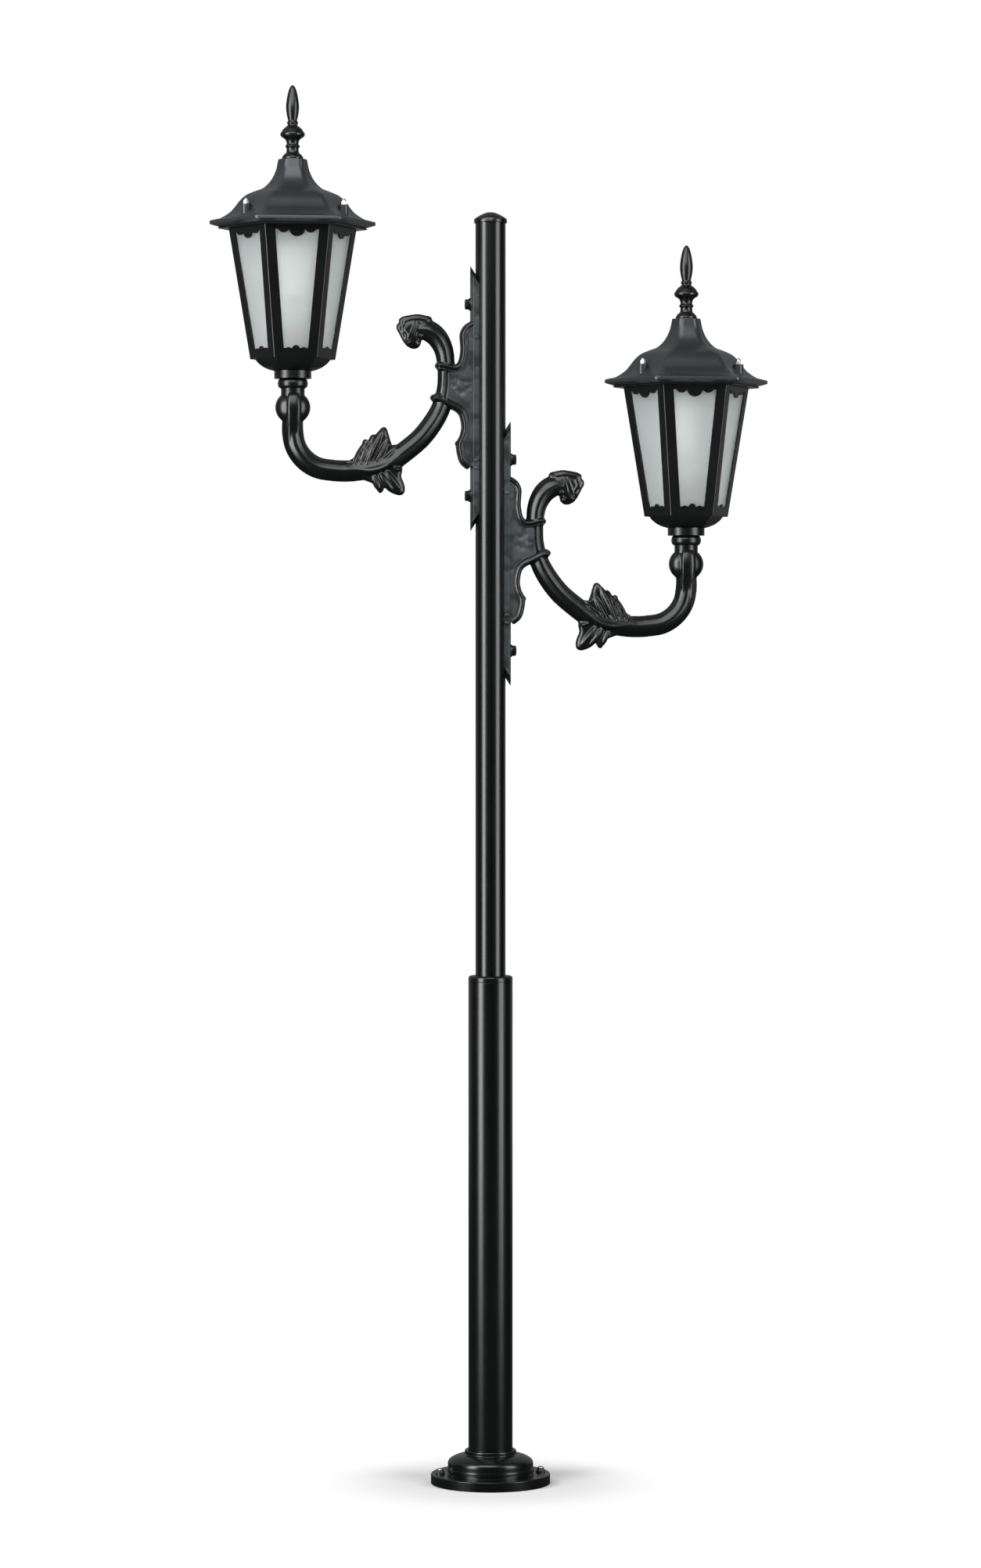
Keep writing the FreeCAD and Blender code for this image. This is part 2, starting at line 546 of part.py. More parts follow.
screw = doc.addObject("PartDesign::Body", "cover_screw")
solid(screw, "AdditiveCylinder", "lower_tube_radius + seat_gap", Radius="grub_radius",
      Height="cover_collar_radius - lower_tube_radius - seat_gap")
lift = Placement(Vector(0, 0, number(FOOT_TOP + " + grub_rise")), Rotation())
copies("cover_grub_screws", screw, [lift * Placement(ORIGIN, radial(azimuth)) for azimuth in GRUB_AZIMUTHS])

washer = doc.addObject("PartDesign::Body", "anchor_washer")
solid(washer, "AdditiveCylinder", "foot_thickness", Radius="anchor_washer_radius",
      Height="anchor_washer_thickness")
solid(washer, "SubtractiveCylinder", "foot_thickness", Radius="anchor_thread_radius + seat_gap",
      Height="anchor_washer_thickness")
nut = doc.addObject("PartDesign::Body", "anchor_nut")
nut_foot = "foot_thickness + anchor_washer_thickness"
solid(nut, "AdditivePrism", nut_foot, Circumradius="anchor_nut_radius", Height="anchor_nut_height")
solid(nut, "AdditiveEllipsoid", nut_foot + " + anchor_nut_height", Radius1="anchor_dome_height",
      Radius2="anchor_dome_radius", Radius3="anchor_dome_radius")
solid(nut, "SubtractiveCylinder", nut_foot, Radius="anchor_thread_radius + fit_gap",
      Height="anchor_nut_height")
anchors = [Placement(Vector(sign * number("anchor_offset"), 0, 0), Rotation()) for sign in (-1, 1)]
copies("anchor_washers", washer, anchors)
copies("anchor_nuts", nut, anchors)


# Arms
def arm_point(share, rise):
    """A point in the arm's plane, from shares of the reach and of the arm's drop."""
    return Vector(share * number("reach"), 0, rise * number("arm_drop"))


def section(centre, normal, thickness_share):
    """An eight-sided section of the arm with a ridge on each side."""
    normal_half = normal * number("arm_half_thickness") * thickness_share
    back_half = BACK * number("arm_half_breadth") * thickness_share
    angles = [math.radians(index * FULL_TURN / ARM_SIDES) for index in range(ARM_SIDES)]
    return [centre + normal_half * math.cos(angle) + back_half * math.sin(angle) for angle in angles]


def arm_bar():
    """The bent bar from the knuckle to the scroll's end."""
    points = [arm_point(share, rise) for share, rise, thickness in ARM_SHARES]
    curve = Part.BSplineCurve()
    curve.interpolate(points)
    knots = curve.getKnots()
    rings = []
    for index in range(len(points) - 1):
        for cut in range(ARM_CUTS):
            part = cut / ARM_CUTS
            rings.append((knots[index] + part * (knots[index + 1] - knots[index]), index + part))
    rings.append((knots[-1], len(points) - 1))
    wires = []
    for parameter, place in rings:
        tangent = curve.tangent(parameter)[0]
        before = min(int(place), len(points) - 2)
        thickness, thickness_after = ARM_SHARES[before][2], ARM_SHARES[before + 1][2]
        thickness += (place - before) * (thickness_after - thickness)
        ring = section(curve.value(parameter), tangent.cross(BACK).normalize(), thickness)
        wires.append(Part.makePolygon(ring + ring[:1]))
    return Part.makeLoft(wires, True, True)


def flat_piece(points, thickness):
    """A plate across the arm's plane."""
    face = Part.Face(Part.makePolygon(points + points[:1]))
    face.translate(BACK * (-thickness / 2))
    return face.extrude(BACK * thickness)


def rib(shares):
    """A rib of even width along its middle line, with a round knob at the arm's outer side."""
    middle = [arm_point(share, rise) for share, rise in shares]
    half = number("rib_width / 2")
    sides = ([], [])
    for index, point in enumerate(middle):
        along = middle[min(index + 1, len(middle) - 1)] - middle[max(index - 1, 0)]
        across = along.cross(BACK).normalize() * half
        sides[0].append(point + across)
        sides[1].append(point - across)
    depth = number("rib_depth")
    lying = Placement(middle[0], Rotation(ACROSS, QUARTER_TURN))
    knob = cylinder(half * KNOB_SHARE, -depth / 2, depth / 2, lying)
    return [flat_piece(sides[0] + sides[1][::-1], depth), knob]


def saddle():
    """The curved plate that clasps the tube, with pointed ends and seats for the washers."""
    half_width, half_height = number("saddle_half_width"), number("saddle_half_height")
    outline = []
    for level, turn in ((1, 1), (-1, -1)):
        for side_sign in (turn, -turn):
            ogee = OGEE_SHARES if side_sign == turn else OGEE_SHARES[-2::-1]
            for share, drop in ogee:
                height = level * (half_height - drop * number("saddle_tip_drop"))
                outline.append(Vector(0, side_sign * share * half_width, height))
    radius = number(SADDLE_BORE + " + saddle_wall")
    plate = Part.Face(Part.makePolygon(outline + outline[:1])).extrude(ACROSS * radius)
    outer = cylinder(radius, -half_height, half_height)
    shape = plate.common(outer)
    pads = [cylinder(number("bracket_washer_radius"), number("upper_tube_radius"), number(WASHER_SEAT),
                     Placement(Vector(0, 0, number(rise)), radial(0))) for rise in BOLT_RISES]
    return shape.fuse(pads)


def cable_bore():
    """The cable's way from the spigot through the arm into the post."""
    bend, sweep, turn = number("bend_radius"), number("sweep_radius"), number("exit_radius")
    bottom = -number("arm_drop")
    top = number("lantern_rise + spigot_height + overrun")
    bend_centre = Vector(number("reach") - bend, 0, bottom + bend)
    sweep_centre = Vector(number("arm_waist") + sweep, 0, bottom + sweep)
    last = math.radians(EXIT_TURN)
    middle = math.radians((QUARTER_TURN + EXIT_TURN) / 2)
    inward = Vector(-math.cos(last), 0, -math.sin(last))
    turn_start = sweep_centre + inward * sweep
    turn_centre = turn_start + inward * turn
    turn_middle = turn_centre + Vector(math.sin(middle - last), 0, math.cos(middle - last)).normalize() * turn
    half = math.radians(QUARTER_TURN / 2)
    corner = Vector(math.sin(half), 0, -math.cos(half))
    edges = [
        Part.LineSegment(Vector(number("reach"), 0, top), bend_centre + ACROSS * bend),
        Part.Arc(bend_centre + ACROSS * bend, bend_centre + corner * bend, bend_centre - UP * bend),
        Part.LineSegment(bend_centre - UP * bend, sweep_centre - UP * sweep),
        Part.Arc(sweep_centre - UP * sweep,
                 sweep_centre + Vector(-math.cos(middle), 0, -math.sin(middle)) * sweep, turn_start),
        Part.Arc(turn_start, turn_middle, turn_centre + UP * turn),
        Part.LineSegment(turn_centre + UP * turn, Vector(0, 0, turn_centre.z + turn)),
    ]
    path = Part.Wire([edge.toShape() for edge in edges])
    start = Part.Wire(Part.Circle(Vector(number("reach"), 0, top), UP, number("arm_bore")).toShape())
    return path.makePipeShell([start], True, False)


def arm_shape():
    """The whole casting, reaching along X, with its saddle's middle at height zero."""
    rise, drop = number("lantern_rise"), number("knuckle_drop")
    axis = Placement(Vector(number("reach"), 0, 0), Rotation())
    ring_half = number("ring_height / 2")
    ring_foot = rise - 2 * ring_half
    neck = cylinder(number("neck_radius"), drop, ring_foot + ring_half, axis)
    ring = Part.makeTorus(number("ring_radius") - ring_half, ring_half)
    ring.translate(Vector(number("reach"), 0, ring_foot + ring_half))
    seat = cylinder(number("ring_seat_radius"), ring_foot, rise, axis)
    spigot = cylinder(number("spigot_radius"), ring_foot, rise + number("spigot_height"), axis)
    ball = ellipsoid(arm_point(1, 0) + UP * drop, number("knuckle_radius"), number("knuckle_half_height"))
    bud_share, bud_rise = BUD_SHARES
    bud = ellipsoid(arm_point(bud_share, bud_rise), number("bud_half_width"), number("bud_half_height"))
    upper, lower = ([arm_point(*pair) for pair in shares] for shares in (UPPER_RIB_SHARES, LOWER_RIB_SHARES))
    edge = number(SADDLE_BORE + " + saddle_wall / 2")
    arm_side = [arm_point(share, height) for share, height, thickness in ARM_SHARES[14:16]]
    post_side = [Vector(edge, 0, upper[-1].z), Vector(edge, 0, lower[-1].z)]
    outline = upper[1:-1] + post_side + lower[-2:0:-1] + arm_side
    web = flat_piece(outline, number("web_thickness"))
    leaves = [flat_piece([arm_point(*pair) for pair in shares], number("leaf_thickness"))
              for shares in (UPPER_LEAF_SHARES, LOWER_LEAF_SHARES)]
    shape = arm_bar().fuse([saddle(), web, bud, ball, neck, ring, seat, spigot] + leaves
                           + rib(UPPER_RIB_SHARES) + rib(LOWER_RIB_SHARES))
    holes = [cylinder(number("bolt_radius + bolt_clearance"), 0, number(BOLT_SEAT),
                      Placement(Vector(0, 0, number(place)), radial(0))) for place in BOLT_RISES]
    tube = cylinder(number(SADDLE_BORE), -number("saddle_half_height + overrun"),
                    number("saddle_half_height + overrun"))
    return shape.cut([tube, cable_bore()] + holes)


casting = arm_shape()
bolt = doc.addObject("PartDesign::Body", "bracket_bolt")
solid(bolt, "AdditivePrism", BOLT_SEAT, Circumradius="bolt_head_radius", Height="bolt_head_height")
solid(bolt, "AdditiveCylinder", INSERT_START, Radius="bolt_radius",
      Height=BOLT_SEAT + " - (" + INSERT_START + ")")
washer = doc.addObject("PartDesign::Body", "bracket_washer")
solid(washer, "AdditiveCylinder", WASHER_SEAT, Radius="bracket_washer_radius",
      Height="bracket_washer_thickness")
solid(washer, "SubtractiveCylinder", WASHER_SEAT, Radius="bolt_radius + seat_gap",
      Height="bracket_washer_thickness")
insert = doc.addObject("PartDesign::Body", "tube_insert")
solid(insert, "AdditiveCylinder", INSERT_START, Radius="insert_collar_radius", Height="insert_collar")
length = INSERT_END + " - (" + INSERT_START + ")"
solid(insert, "AdditiveCylinder", INSERT_START, Radius="insert_radius", Height=length)
solid(insert, "SubtractiveCylinder", INSERT_START, Radius="bolt_radius + fit_gap", Height=length)
for side, azimuth in SIDE_AZIMUTHS:
    height = side + "_plate_height"
    arm = shaped(side + "_arm", casting)
    move(arm, up=height, turn=azimuth)
    places = [Placement(Vector(0, 0, number(height + " + " + rise)), radial(azimuth)) for rise in BOLT_RISES]
    copies(side + "_bracket_bolts", bolt, places)
    copies(side + "_bracket_washers", washer, places)
    copies(side + "_tube_inserts", insert, places)
    grommet = piece(side + "_cable_grommet")
    lip_start = GROMMET_FACE + " - grommet_lip_depth"
    length = GROMMET_END + " - (" + lip_start + ")"
    solid(grommet, "AdditiveCylinder", lip_start, Radius="grommet_radius + grommet_lip",
          Height="grommet_lip_depth")
    solid(grommet, "AdditiveCylinder", lip_start, Radius="grommet_radius", Height=length)
    solid(grommet, "SubtractiveCylinder", lip_start, Radius="grommet_bore", Height=length)
    grommet.Placement = Placement(ORIGIN, radial(azimuth))
    grommet.setExpression("Placement.Base.z", bound(height + " + " + CABLE_RISE))


# Lanterns
def bowl_corner(height):
    """Corner radius of the bowl's outside at a height above its foot."""
    share = height / number("bowl_height")
    for (low, low_share), (high, high_share) in zip(BOWL_SHARES, BOWL_SHARES[1:]):
        if share <= high_share:
            widening = low + (high - low) * (share - low_share) / (high_share - low_share)
            return number("bowl_foot_radius") + widening * number("bowl_rim_radius - bowl_foot_radius")
    return number("bowl_rim_radius")


def bowl_shape():
    """The hexagonal bowl with its floor, its lip and the holes in both."""
    height, wall = number("bowl_height"), number("bowl_wall")
    wall_across = wall / COS_HALF_STEP
    levels = [share * height for widening, share in BOWL_SHARES]
    outer = hex_stack([(bowl_corner(level), level) for level in levels])
    inner_levels = [wall] + [level for level in levels if wall < level < height - wall] + [height - wall]
    inner = hex_stack([(bowl_corner(level) - wall_across, level) for level in inner_levels])
    mouth_radius = number("bowl_rim_radius - bowl_lip")
    mouth = hex_stack([(mouth_radius, height - 2 * wall), (mouth_radius, height + number("overrun"))])
    stem_hole = cylinder(number("stem_radius + seat_gap"), -number("overrun"), 2 * wall)
    screws = [cylinder(number("bowl_screw_radius + seat_gap"), height - 2 * wall, height + wall,
                       at(place, number("bowl_screw_offset"), 0)) for place in around(BOWL_SCREWS)]
    return outer.cut([inner, mouth, stem_hole] + screws)


def cage_corner_at(height):
    """Corner radius of the cage's outside at a height above its foot."""
    share = height / number("cage_height")
    return number("cage_foot_radius") + share * number("cage_top_radius - cage_foot_radius")


def window(low, high):
    """A cutter for one window: a tapered opening with a scalloped top and a humped foot."""
    corner = number("cage_corner")
    half_low, half_high = (cage_corner_at(height) / 2 - corner for height in (low, high))
    corners = [Vector(0, -half_low, low), Vector(0, half_low, low), Vector(0, half_high, high),
               Vector(0, -half_high, high)]
    face = Part.Face(Part.makePolygon(corners + corners[:1]))
    lobe, small_lobe = number("valance_lobe"), number("valance_small_lobe")
    hump, small_hump = number("sill_hump"), number("sill_small_hump")
    discs = [(0, high + number("valance_lift"), lobe), (0, low - number("sill_sink"), hump)]
    for sign in (-1, 1):
        discs.append((sign * half_high * LOBE_PLACE_SHARE, high + number("valance_small_lift"), small_lobe))
        discs.append((sign * half_low * HUMP_PLACE_SHARE, low - number("sill_small_sink"), small_hump))
    solids = face.extrude(ACROSS * number("cage_top_radius + overrun"))
    rods = [cylinder(radius, 0, number("cage_top_radius + overrun") * 2,
                     Placement(Vector(0, y, z), radial(0))) for y, z, radius in discs]
    return solids.cut(rods)


def cage_shape():
    """The tapered hexagonal cage with its foot flange and its top flange."""
    height, flange, overrun = number("cage_height"), number("cage_flange"), number("overrun")
    wall_across = number("cage_wall") / COS_HALF_STEP
    outer = hex_stack([(cage_corner_at(0), 0), (cage_corner_at(height), height)])
    inner = hex_stack([(cage_corner_at(level) - wall_across, level) for level in (flange, height)])
    foot_mouth = number("cage_foot_radius - cage_flange_width")
    mouth = hex_stack([(foot_mouth, -overrun), (foot_mouth, flange + overrun)])
    top_edge = number(LEDGE_RADIUS)
    top_mouth = (pane_back(height) - number("clip_thickness") - overrun) / COS_HALF_STEP
    top = hex_stack([(top_edge, height - flange), (top_edge, height)])
    top = top.cut(hex_stack([(top_mouth, height - flange - overrun), (top_mouth, height + overrun)]))
    opening = window(number("cage_foot_rail"), height - number("cage_top_rail"))
    openings = []
    for place in around():
        openings.append(opening.copy())
        openings[-1].Placement = place
    holes = [cylinder(number("bowl_screw_radius + seat_gap"), -overrun, flange + overrun,
                      at(place, number("bowl_screw_offset"), 0)) for place in around(BOWL_SCREWS)]
    return outer.cut([inner, mouth] + openings + holes).fuse(top)


def pane_face(height):
    """Distance from the lantern's axis to a pane's outer face, at a height above the cage's foot."""
    return (cage_corner_at(height)) * COS_HALF_STEP - number("cage_wall + seat_gap")


def pane_back(height):
    """Distance from the lantern's axis to a pane's inner face."""
    return pane_face(height) - number("pane_thickness")


def pane_shape():
    """One tapered pane that leans with the cage's side, facing along X."""
    rings = []
    for height in (number("cage_flange + seat_gap"), number("cage_height - cage_flange - seat_gap")):
        half = cage_corner_at(height) / 2 - number("cage_corner - pane_overlap")
        front, rear = pane_face(height), pane_back(height)
        rings.append([Vector(rear, -half, height), Vector(front, -half, height), Vector(front, half, height),
                      Vector(rear, half, height)])
    return stack(rings)


def clip_shape():
    """One clip under the cage's top flange, behind a pane that faces along X."""
    top = number("cage_height - cage_flange")
    foot = top - number("clip_height")
    front = pane_back(foot) - number("fit_gap")
    half = number("clip_width / 2")
    return block(Vector(front - number("clip_thickness"), -half, foot), Vector(front, half, top))


def stud_places():
    """Where the roof studs stand around a lantern's axis."""
    return [at(place, number(STUD_OFFSET), 0) for place in around(len(BOSS_AZIMUTHS), BOSS_AZIMUTHS[0])]


def roof_shape():
    """The bell-shaped hexagonal roof with its lip, three bosses and the finial's hole."""
    radius, height, wall = number(ROOF_RADIUS), number("roof_height"), number("roof_wall")
    overrun = number("overrun")
    levels = [(share * radius, rise * height) for share, rise in ROOF_SHARES]
    ledge, drop = number(LEDGE_RADIUS), number("roof_gap - seat_gap")
    outer = hex_stack([(ledge, -drop), (radius, 0)] + levels)
    mouth, lip_mouth = radius - number("roof_rim"), ledge - number("lip_width")
    lip_top = number("lip_wall")
    mouth_level = lip_top - drop * (radius - mouth) / (radius - ledge)
    inside = [(corner - wall, level - wall) for corner, level in levels[1:]]
    inner = hex_stack([(lip_mouth, -drop - overrun), (lip_mouth, lip_top - drop), (mouth, mouth_level)] + inside)
    legs = [cylinder(number("boss_radius"), -number("roof_gap"), number("boss_height - roof_gap"), place)
            for place in stud_places()]
    bores = [cylinder(number("stud_radius + stud_clearance"), -number("roof_gap + overrun"),
                      number("boss_height - roof_gap + overrun"), place) for place in stud_places()]
    bolt_hole = cylinder(number("finial_bolt_radius + seat_gap"), height - 2 * wall, height + overrun)
    return outer.cut(inner).fuse(legs).cut(bores + [bolt_hole])


def turned_copies(shape, places):
    """Copies of a shape turned about the lantern's axis."""
    solids = []
    for place in places:
        solids.append(shape.copy())
        solids[-1].Placement = place
    return Part.makeCompound(solids)


bowl, cage, roof = bowl_shape(), cage_shape(), roof_shape()
panes = turned_copies(pane_shape(), around())
clips = turned_copies(clip_shape(), around())

grub = doc.addObject("PartDesign::Body", "collar_screw")
solid(grub, "AdditiveCylinder", "spigot_radius + seat_gap", Radius="grub_radius",
      Height="collar_radius - spigot_radius - seat_gap")
bowl_screw = doc.addObject("PartDesign::Body", "bowl_screw")
head_foot = CAGE_FOOT + " + cage_flange"
solid(bowl_screw, "AdditiveCylinder", head_foot, Radius="bowl_screw_head", Height="bowl_screw_head_height")
solid(bowl_screw, "AdditiveCylinder", CAGE_FOOT + " - bowl_wall", Radius="bowl_screw_radius",
      Height="bowl_wall + cage_flange")
stud = doc.addObject("PartDesign::Body", "roof_stud")
solid(stud, "AdditiveCylinder", CAGE_TOP, Radius="stud_radius", Height="boss_height + stud_end")
cap_nut = doc.addObject("PartDesign::Body", "roof_cap_nut")
solid(cap_nut, "AdditivePrism", BOSS_TOP, Circumradius="cap_nut_radius", Height="cap_nut_height")
solid(cap_nut, "AdditiveEllipsoid", BOSS_TOP + " + cap_nut_height", Radius1="cap_nut_dome_height",
      Radius2="cap_nut_dome", Radius3="cap_nut_dome")
solid(cap_nut, "SubtractiveCylinder", BOSS_TOP, Radius="stud_radius + fit_gap", Height="stud_end + fit_gap")

for side, azimuth in SIDE_AZIMUTHS:
    across = ("-" if side == "left" else "") + "reach"
    foot = side + "_plate_height + lantern_rise"
    base = Placement(Vector(number(across), 0, number(foot)), Rotation())

    collar = piece(side + "_fitter_collar")
    solid(collar, "AdditiveCylinder", "0", Radius="collar_radius", Height="collar_height")
    solid(collar, "AdditiveCylinder", "collar_height", Radius="stem_radius", Height="stem_height")
    solid(collar, "SubtractiveCylinder", "0", Radius="spigot_radius + fit_gap",
          Height="collar_height - collar_floor")
    solid(collar, "SubtractiveCylinder", "0", Radius="stem_bore", Height="collar_height + stem_height")
    for screw_azimuth in BOSS_AZIMUTHS:
        solid(collar, "SubtractiveCylinder", "screw_rise", rotation=radial(screw_azimuth),
              Radius="grub_radius + fit_gap", Height="collar_radius + overrun")
    move(collar, across, foot)
    screw_base = base * Placement(Vector(0, 0, number("screw_rise")), Rotation())
    copies(side + "_collar_screws", grub,
           [screw_base * Placement(ORIGIN, radial(screw_azimuth)) for screw_azimuth in BOSS_AZIMUTHS])

    stem_nut = piece(side + "_stem_nut")
    solid(stem_nut, "AdditivePrism", "0", Circumradius="stem_nut_radius", Height="stem_nut_height")
    solid(stem_nut, "SubtractiveCylinder", "0", Radius="stem_radius + fit_gap", Height="stem_nut_height")
    move(stem_nut, across, foot + " + collar_height + bowl_wall")

    move(shaped(side + "_bowl", bowl), across, foot + " + " + BOWL_FOOT)
    copies(side + "_bowl_screws", bowl_screw,
           [base * at(place, number("bowl_screw_offset"), 0) for place in around(BOWL_SCREWS)])
    move(shaped(side + "_frame", cage), across, foot + " + " + CAGE_FOOT)
    move(shaped(side + "_glass_panes", panes), across, foot + " + " + CAGE_FOOT)
    move(shaped(side + "_pane_clips", clips), across, foot + " + " + CAGE_FOOT)
    move(shaped(side + "_roof", roof), across, foot + " + " + ROOF_FOOT)
    copies(side + "_roof_studs", stud, [base * place for place in stud_places()])
    copies(side + "_roof_cap_nuts", cap_nut, [base * place for place in stud_places()])

    finial = piece(side + "_finial")
    outline = [(str(share) + " * finial_ball_radius", str(rise) + " * finial_height")
               for share, rise in FINIAL_SHARES]
    outline += [("0", "-finial_bolt_length"), ("finial_bolt_radius", "-finial_bolt_length"),
                ("finial_bolt_radius", "0")]
    turned(finial, outline)
    move(finial, across, foot + " + " + PLATFORM)
    finial_nut = piece(side + "_finial_nut")
    solid(finial_nut, "AdditivePrism", "0", Circumradius="finial_nut_radius", Height="finial_nut_height")
    solid(finial_nut, "SubtractiveCylinder", "0", Radius="finial_bolt_radius + fit_gap",
          Height="finial_nut_height")
    move(finial_nut, across, foot + " + " + PLATFORM + " - roof_wall - finial_nut_height")

    bracket = piece(side + "_lampholder_bracket")
    half_span, half_width = "holder_bracket_span / 2", "holder_bracket_width / 2"
    sheet_edge = half_span + " - holder_bracket_sheet"
    top_foot = "holder_bracket_height - holder_bracket_sheet"
    solid(bracket, "AdditiveBox", top_foot, "-" + half_span, "-" + half_width,
          Length="holder_bracket_span", Width="holder_bracket_width", Height="holder_bracket_sheet")
    for leg_start, foot_start in (("-(" + half_span + ")", "-(" + half_span + " + holder_bracket_foot)"),
                                  (sheet_edge, sheet_edge)):
        solid(bracket, "AdditiveBox", "0", leg_start, "-" + half_width, Length="holder_bracket_sheet",
              Width="holder_bracket_width", Height="holder_bracket_height")
        solid(bracket, "AdditiveBox", "0", foot_start, "-" + half_width,
              Length="holder_bracket_foot + holder_bracket_sheet",
              Width="holder_bracket_width", Height="holder_bracket_sheet")
    solid(bracket, "SubtractiveCylinder", top_foot, Radius="stem_bore", Height="holder_bracket_sheet")
    move(bracket, across, foot + " + collar_height + bowl_wall")

    holder = piece(side + "_lampholder")
    solid(holder, "AdditiveCylinder", "0", Radius="holder_radius", Height="holder_height")
    solid(holder, "SubtractiveCylinder", "holder_height - holder_socket_depth",
          Radius="bulb_cap_radius + seat_gap", Height="holder_socket_depth")
    solid(holder, "SubtractiveCylinder", "holder_height - holder_socket_depth + bulb_cap_height",
          Radius="holder_mouth_radius", Height="holder_socket_depth - bulb_cap_height")
    move(holder, across, foot + " + " + HOLDER_FOOT)
    bulb_cap = piece(side + "_bulb_cap")
    solid(bulb_cap, "AdditiveCylinder", "0", Radius="bulb_cap_radius", Height="bulb_cap_height")
    cap_foot = HOLDER_FOOT + " + holder_height - holder_socket_depth"
    move(bulb_cap, across, foot + " + " + cap_foot)
    globe = piece(side + "_bulb_globe")
    outline = [(str(share) + " * bulb_radius", str(rise) + " * bulb_height") for share, rise in BULB_SHARES]
    turned(globe, outline + [("0", "bulb_height"), ("0", "0")])
    move(globe, across, foot + " + " + cap_foot + " + bulb_cap_height")

    terminal = piece(side + "_terminal_block")
    solid(terminal, "AdditiveBox", "0", "-block_length / 2", "stem_nut_radius + overrun",
          Length="block_length", Width="block_depth", Height="block_height")
    move(terminal, across, foot + " + collar_height + bowl_wall")

# Check everything before anything is written
doc.recompute()
for item in doc.Objects:
    if "Invalid" in item.State or "Error" in item.State:
        raise RuntimeError(item.Name + " did not recompute")
for item in PIECES:
    if item.Shape.isNull() or not item.Shape.isValid():
        raise RuntimeError(item.Label + " has no valid shape")

os.makedirs("parts", exist_ok=True)
for item in PIECES:
    item.Shape.exportStep("parts/" + item.Label + ".step")
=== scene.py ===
import json
import math

import bmesh
import bpy
from bpy.props import FloatProperty, FloatVectorProperty, IntProperty, PointerProperty
from mathutils import Matrix, Vector
from mathutils.geometry import interpolate_bezier

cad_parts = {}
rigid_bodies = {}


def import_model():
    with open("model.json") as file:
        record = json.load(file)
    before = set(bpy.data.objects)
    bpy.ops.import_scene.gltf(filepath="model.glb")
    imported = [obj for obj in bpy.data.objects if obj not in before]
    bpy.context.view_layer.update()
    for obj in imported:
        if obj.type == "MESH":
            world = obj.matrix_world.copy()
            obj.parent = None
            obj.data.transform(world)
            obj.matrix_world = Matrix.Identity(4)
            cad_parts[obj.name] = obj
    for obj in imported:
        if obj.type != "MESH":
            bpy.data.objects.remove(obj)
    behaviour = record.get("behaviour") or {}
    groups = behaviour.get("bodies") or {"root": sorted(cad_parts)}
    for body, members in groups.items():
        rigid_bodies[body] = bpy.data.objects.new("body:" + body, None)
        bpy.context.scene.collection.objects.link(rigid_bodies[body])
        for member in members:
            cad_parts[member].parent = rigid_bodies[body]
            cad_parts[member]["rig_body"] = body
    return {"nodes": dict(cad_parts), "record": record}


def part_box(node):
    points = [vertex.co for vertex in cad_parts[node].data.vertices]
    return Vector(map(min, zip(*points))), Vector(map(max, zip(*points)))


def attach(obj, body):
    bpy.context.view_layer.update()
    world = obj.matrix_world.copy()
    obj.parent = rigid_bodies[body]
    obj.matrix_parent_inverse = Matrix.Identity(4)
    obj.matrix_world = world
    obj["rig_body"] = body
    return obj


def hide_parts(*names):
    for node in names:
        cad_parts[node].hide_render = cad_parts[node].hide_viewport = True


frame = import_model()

bl_info = {
    "name": "Garden Lamp Post",
    "version": (1, 0, 0),
    "blender": (4, 5, 0),
    "location": "3D View > Sidebar > Lamp Post",
    "description": "Dresses a garden lamp post with two scroll arms and two hexagonal lanterns",
    "category": "Object",
}

MM = 0.001
SIDES = ("left", "right")
UP = Vector((0, 0, 1))
BACK = Vector((0, 1, 0))
FULL_TURN = 2 * math.pi
HEX_SIDES = 6
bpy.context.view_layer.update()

# Points nearer than this are one, and edges flatter than this aren't edges
MERGE = 0.00002
FLAT_ANGLE = math.radians(0.6)

# Least angle between the faces at an edge that counts as sharp
SHARP_ANGLE = math.radians(34)
LONG_EDGE_ANGLE = math.radians(16)
RIDGE_ANGLE = math.radians(17)
ROOF_SHARP_ANGLE = math.radians(50)

# What a corner of a hexagonal piece is: how far from a whole sixth of a turn its edges may be and
# may twist, and the least radius of a roof's ridges and the least length of a frame's corners
CORNER_TOLERANCE = 0.02
CORNER_TWIST = 0.05
RIDGE_LEAST_RADIUS = 0.025
CORNER_LEAST_LENGTH = 0.1

# Roundings of small pieces, and faces around turned ones
SADDLE_ROUNDING = 0.0012
BOWL_ROUNDING = 0.0016
BOLT_ROUNDING = 0.0006
NUT_ROUNDING = 0.0004
TURNED_STEPS = 64
KNUCKLE_STEPS = 48
PEG_STEPS = 40
KNOB_STEPS = 24

# Where the lanterns, the brackets and the tubes are, read from the frame
COLLARS = {side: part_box(side + "_fitter_collar") for side in SIDES}
REACH = (COLLARS["right"][0].x + COLLARS["right"][1].x) / 2
SADDLE_HALF_HEIGHT = 0.2655
LANTERN_RISE = 0.0376
PLATE_HEIGHT = {side: COLLARS[side][0].z - LANTERN_RISE for side in SIDES}
UPPER_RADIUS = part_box("upper_tube")[1].y
FOOT_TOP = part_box("base_cover")[0].z
POST_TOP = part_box("upper_tube")[1].z

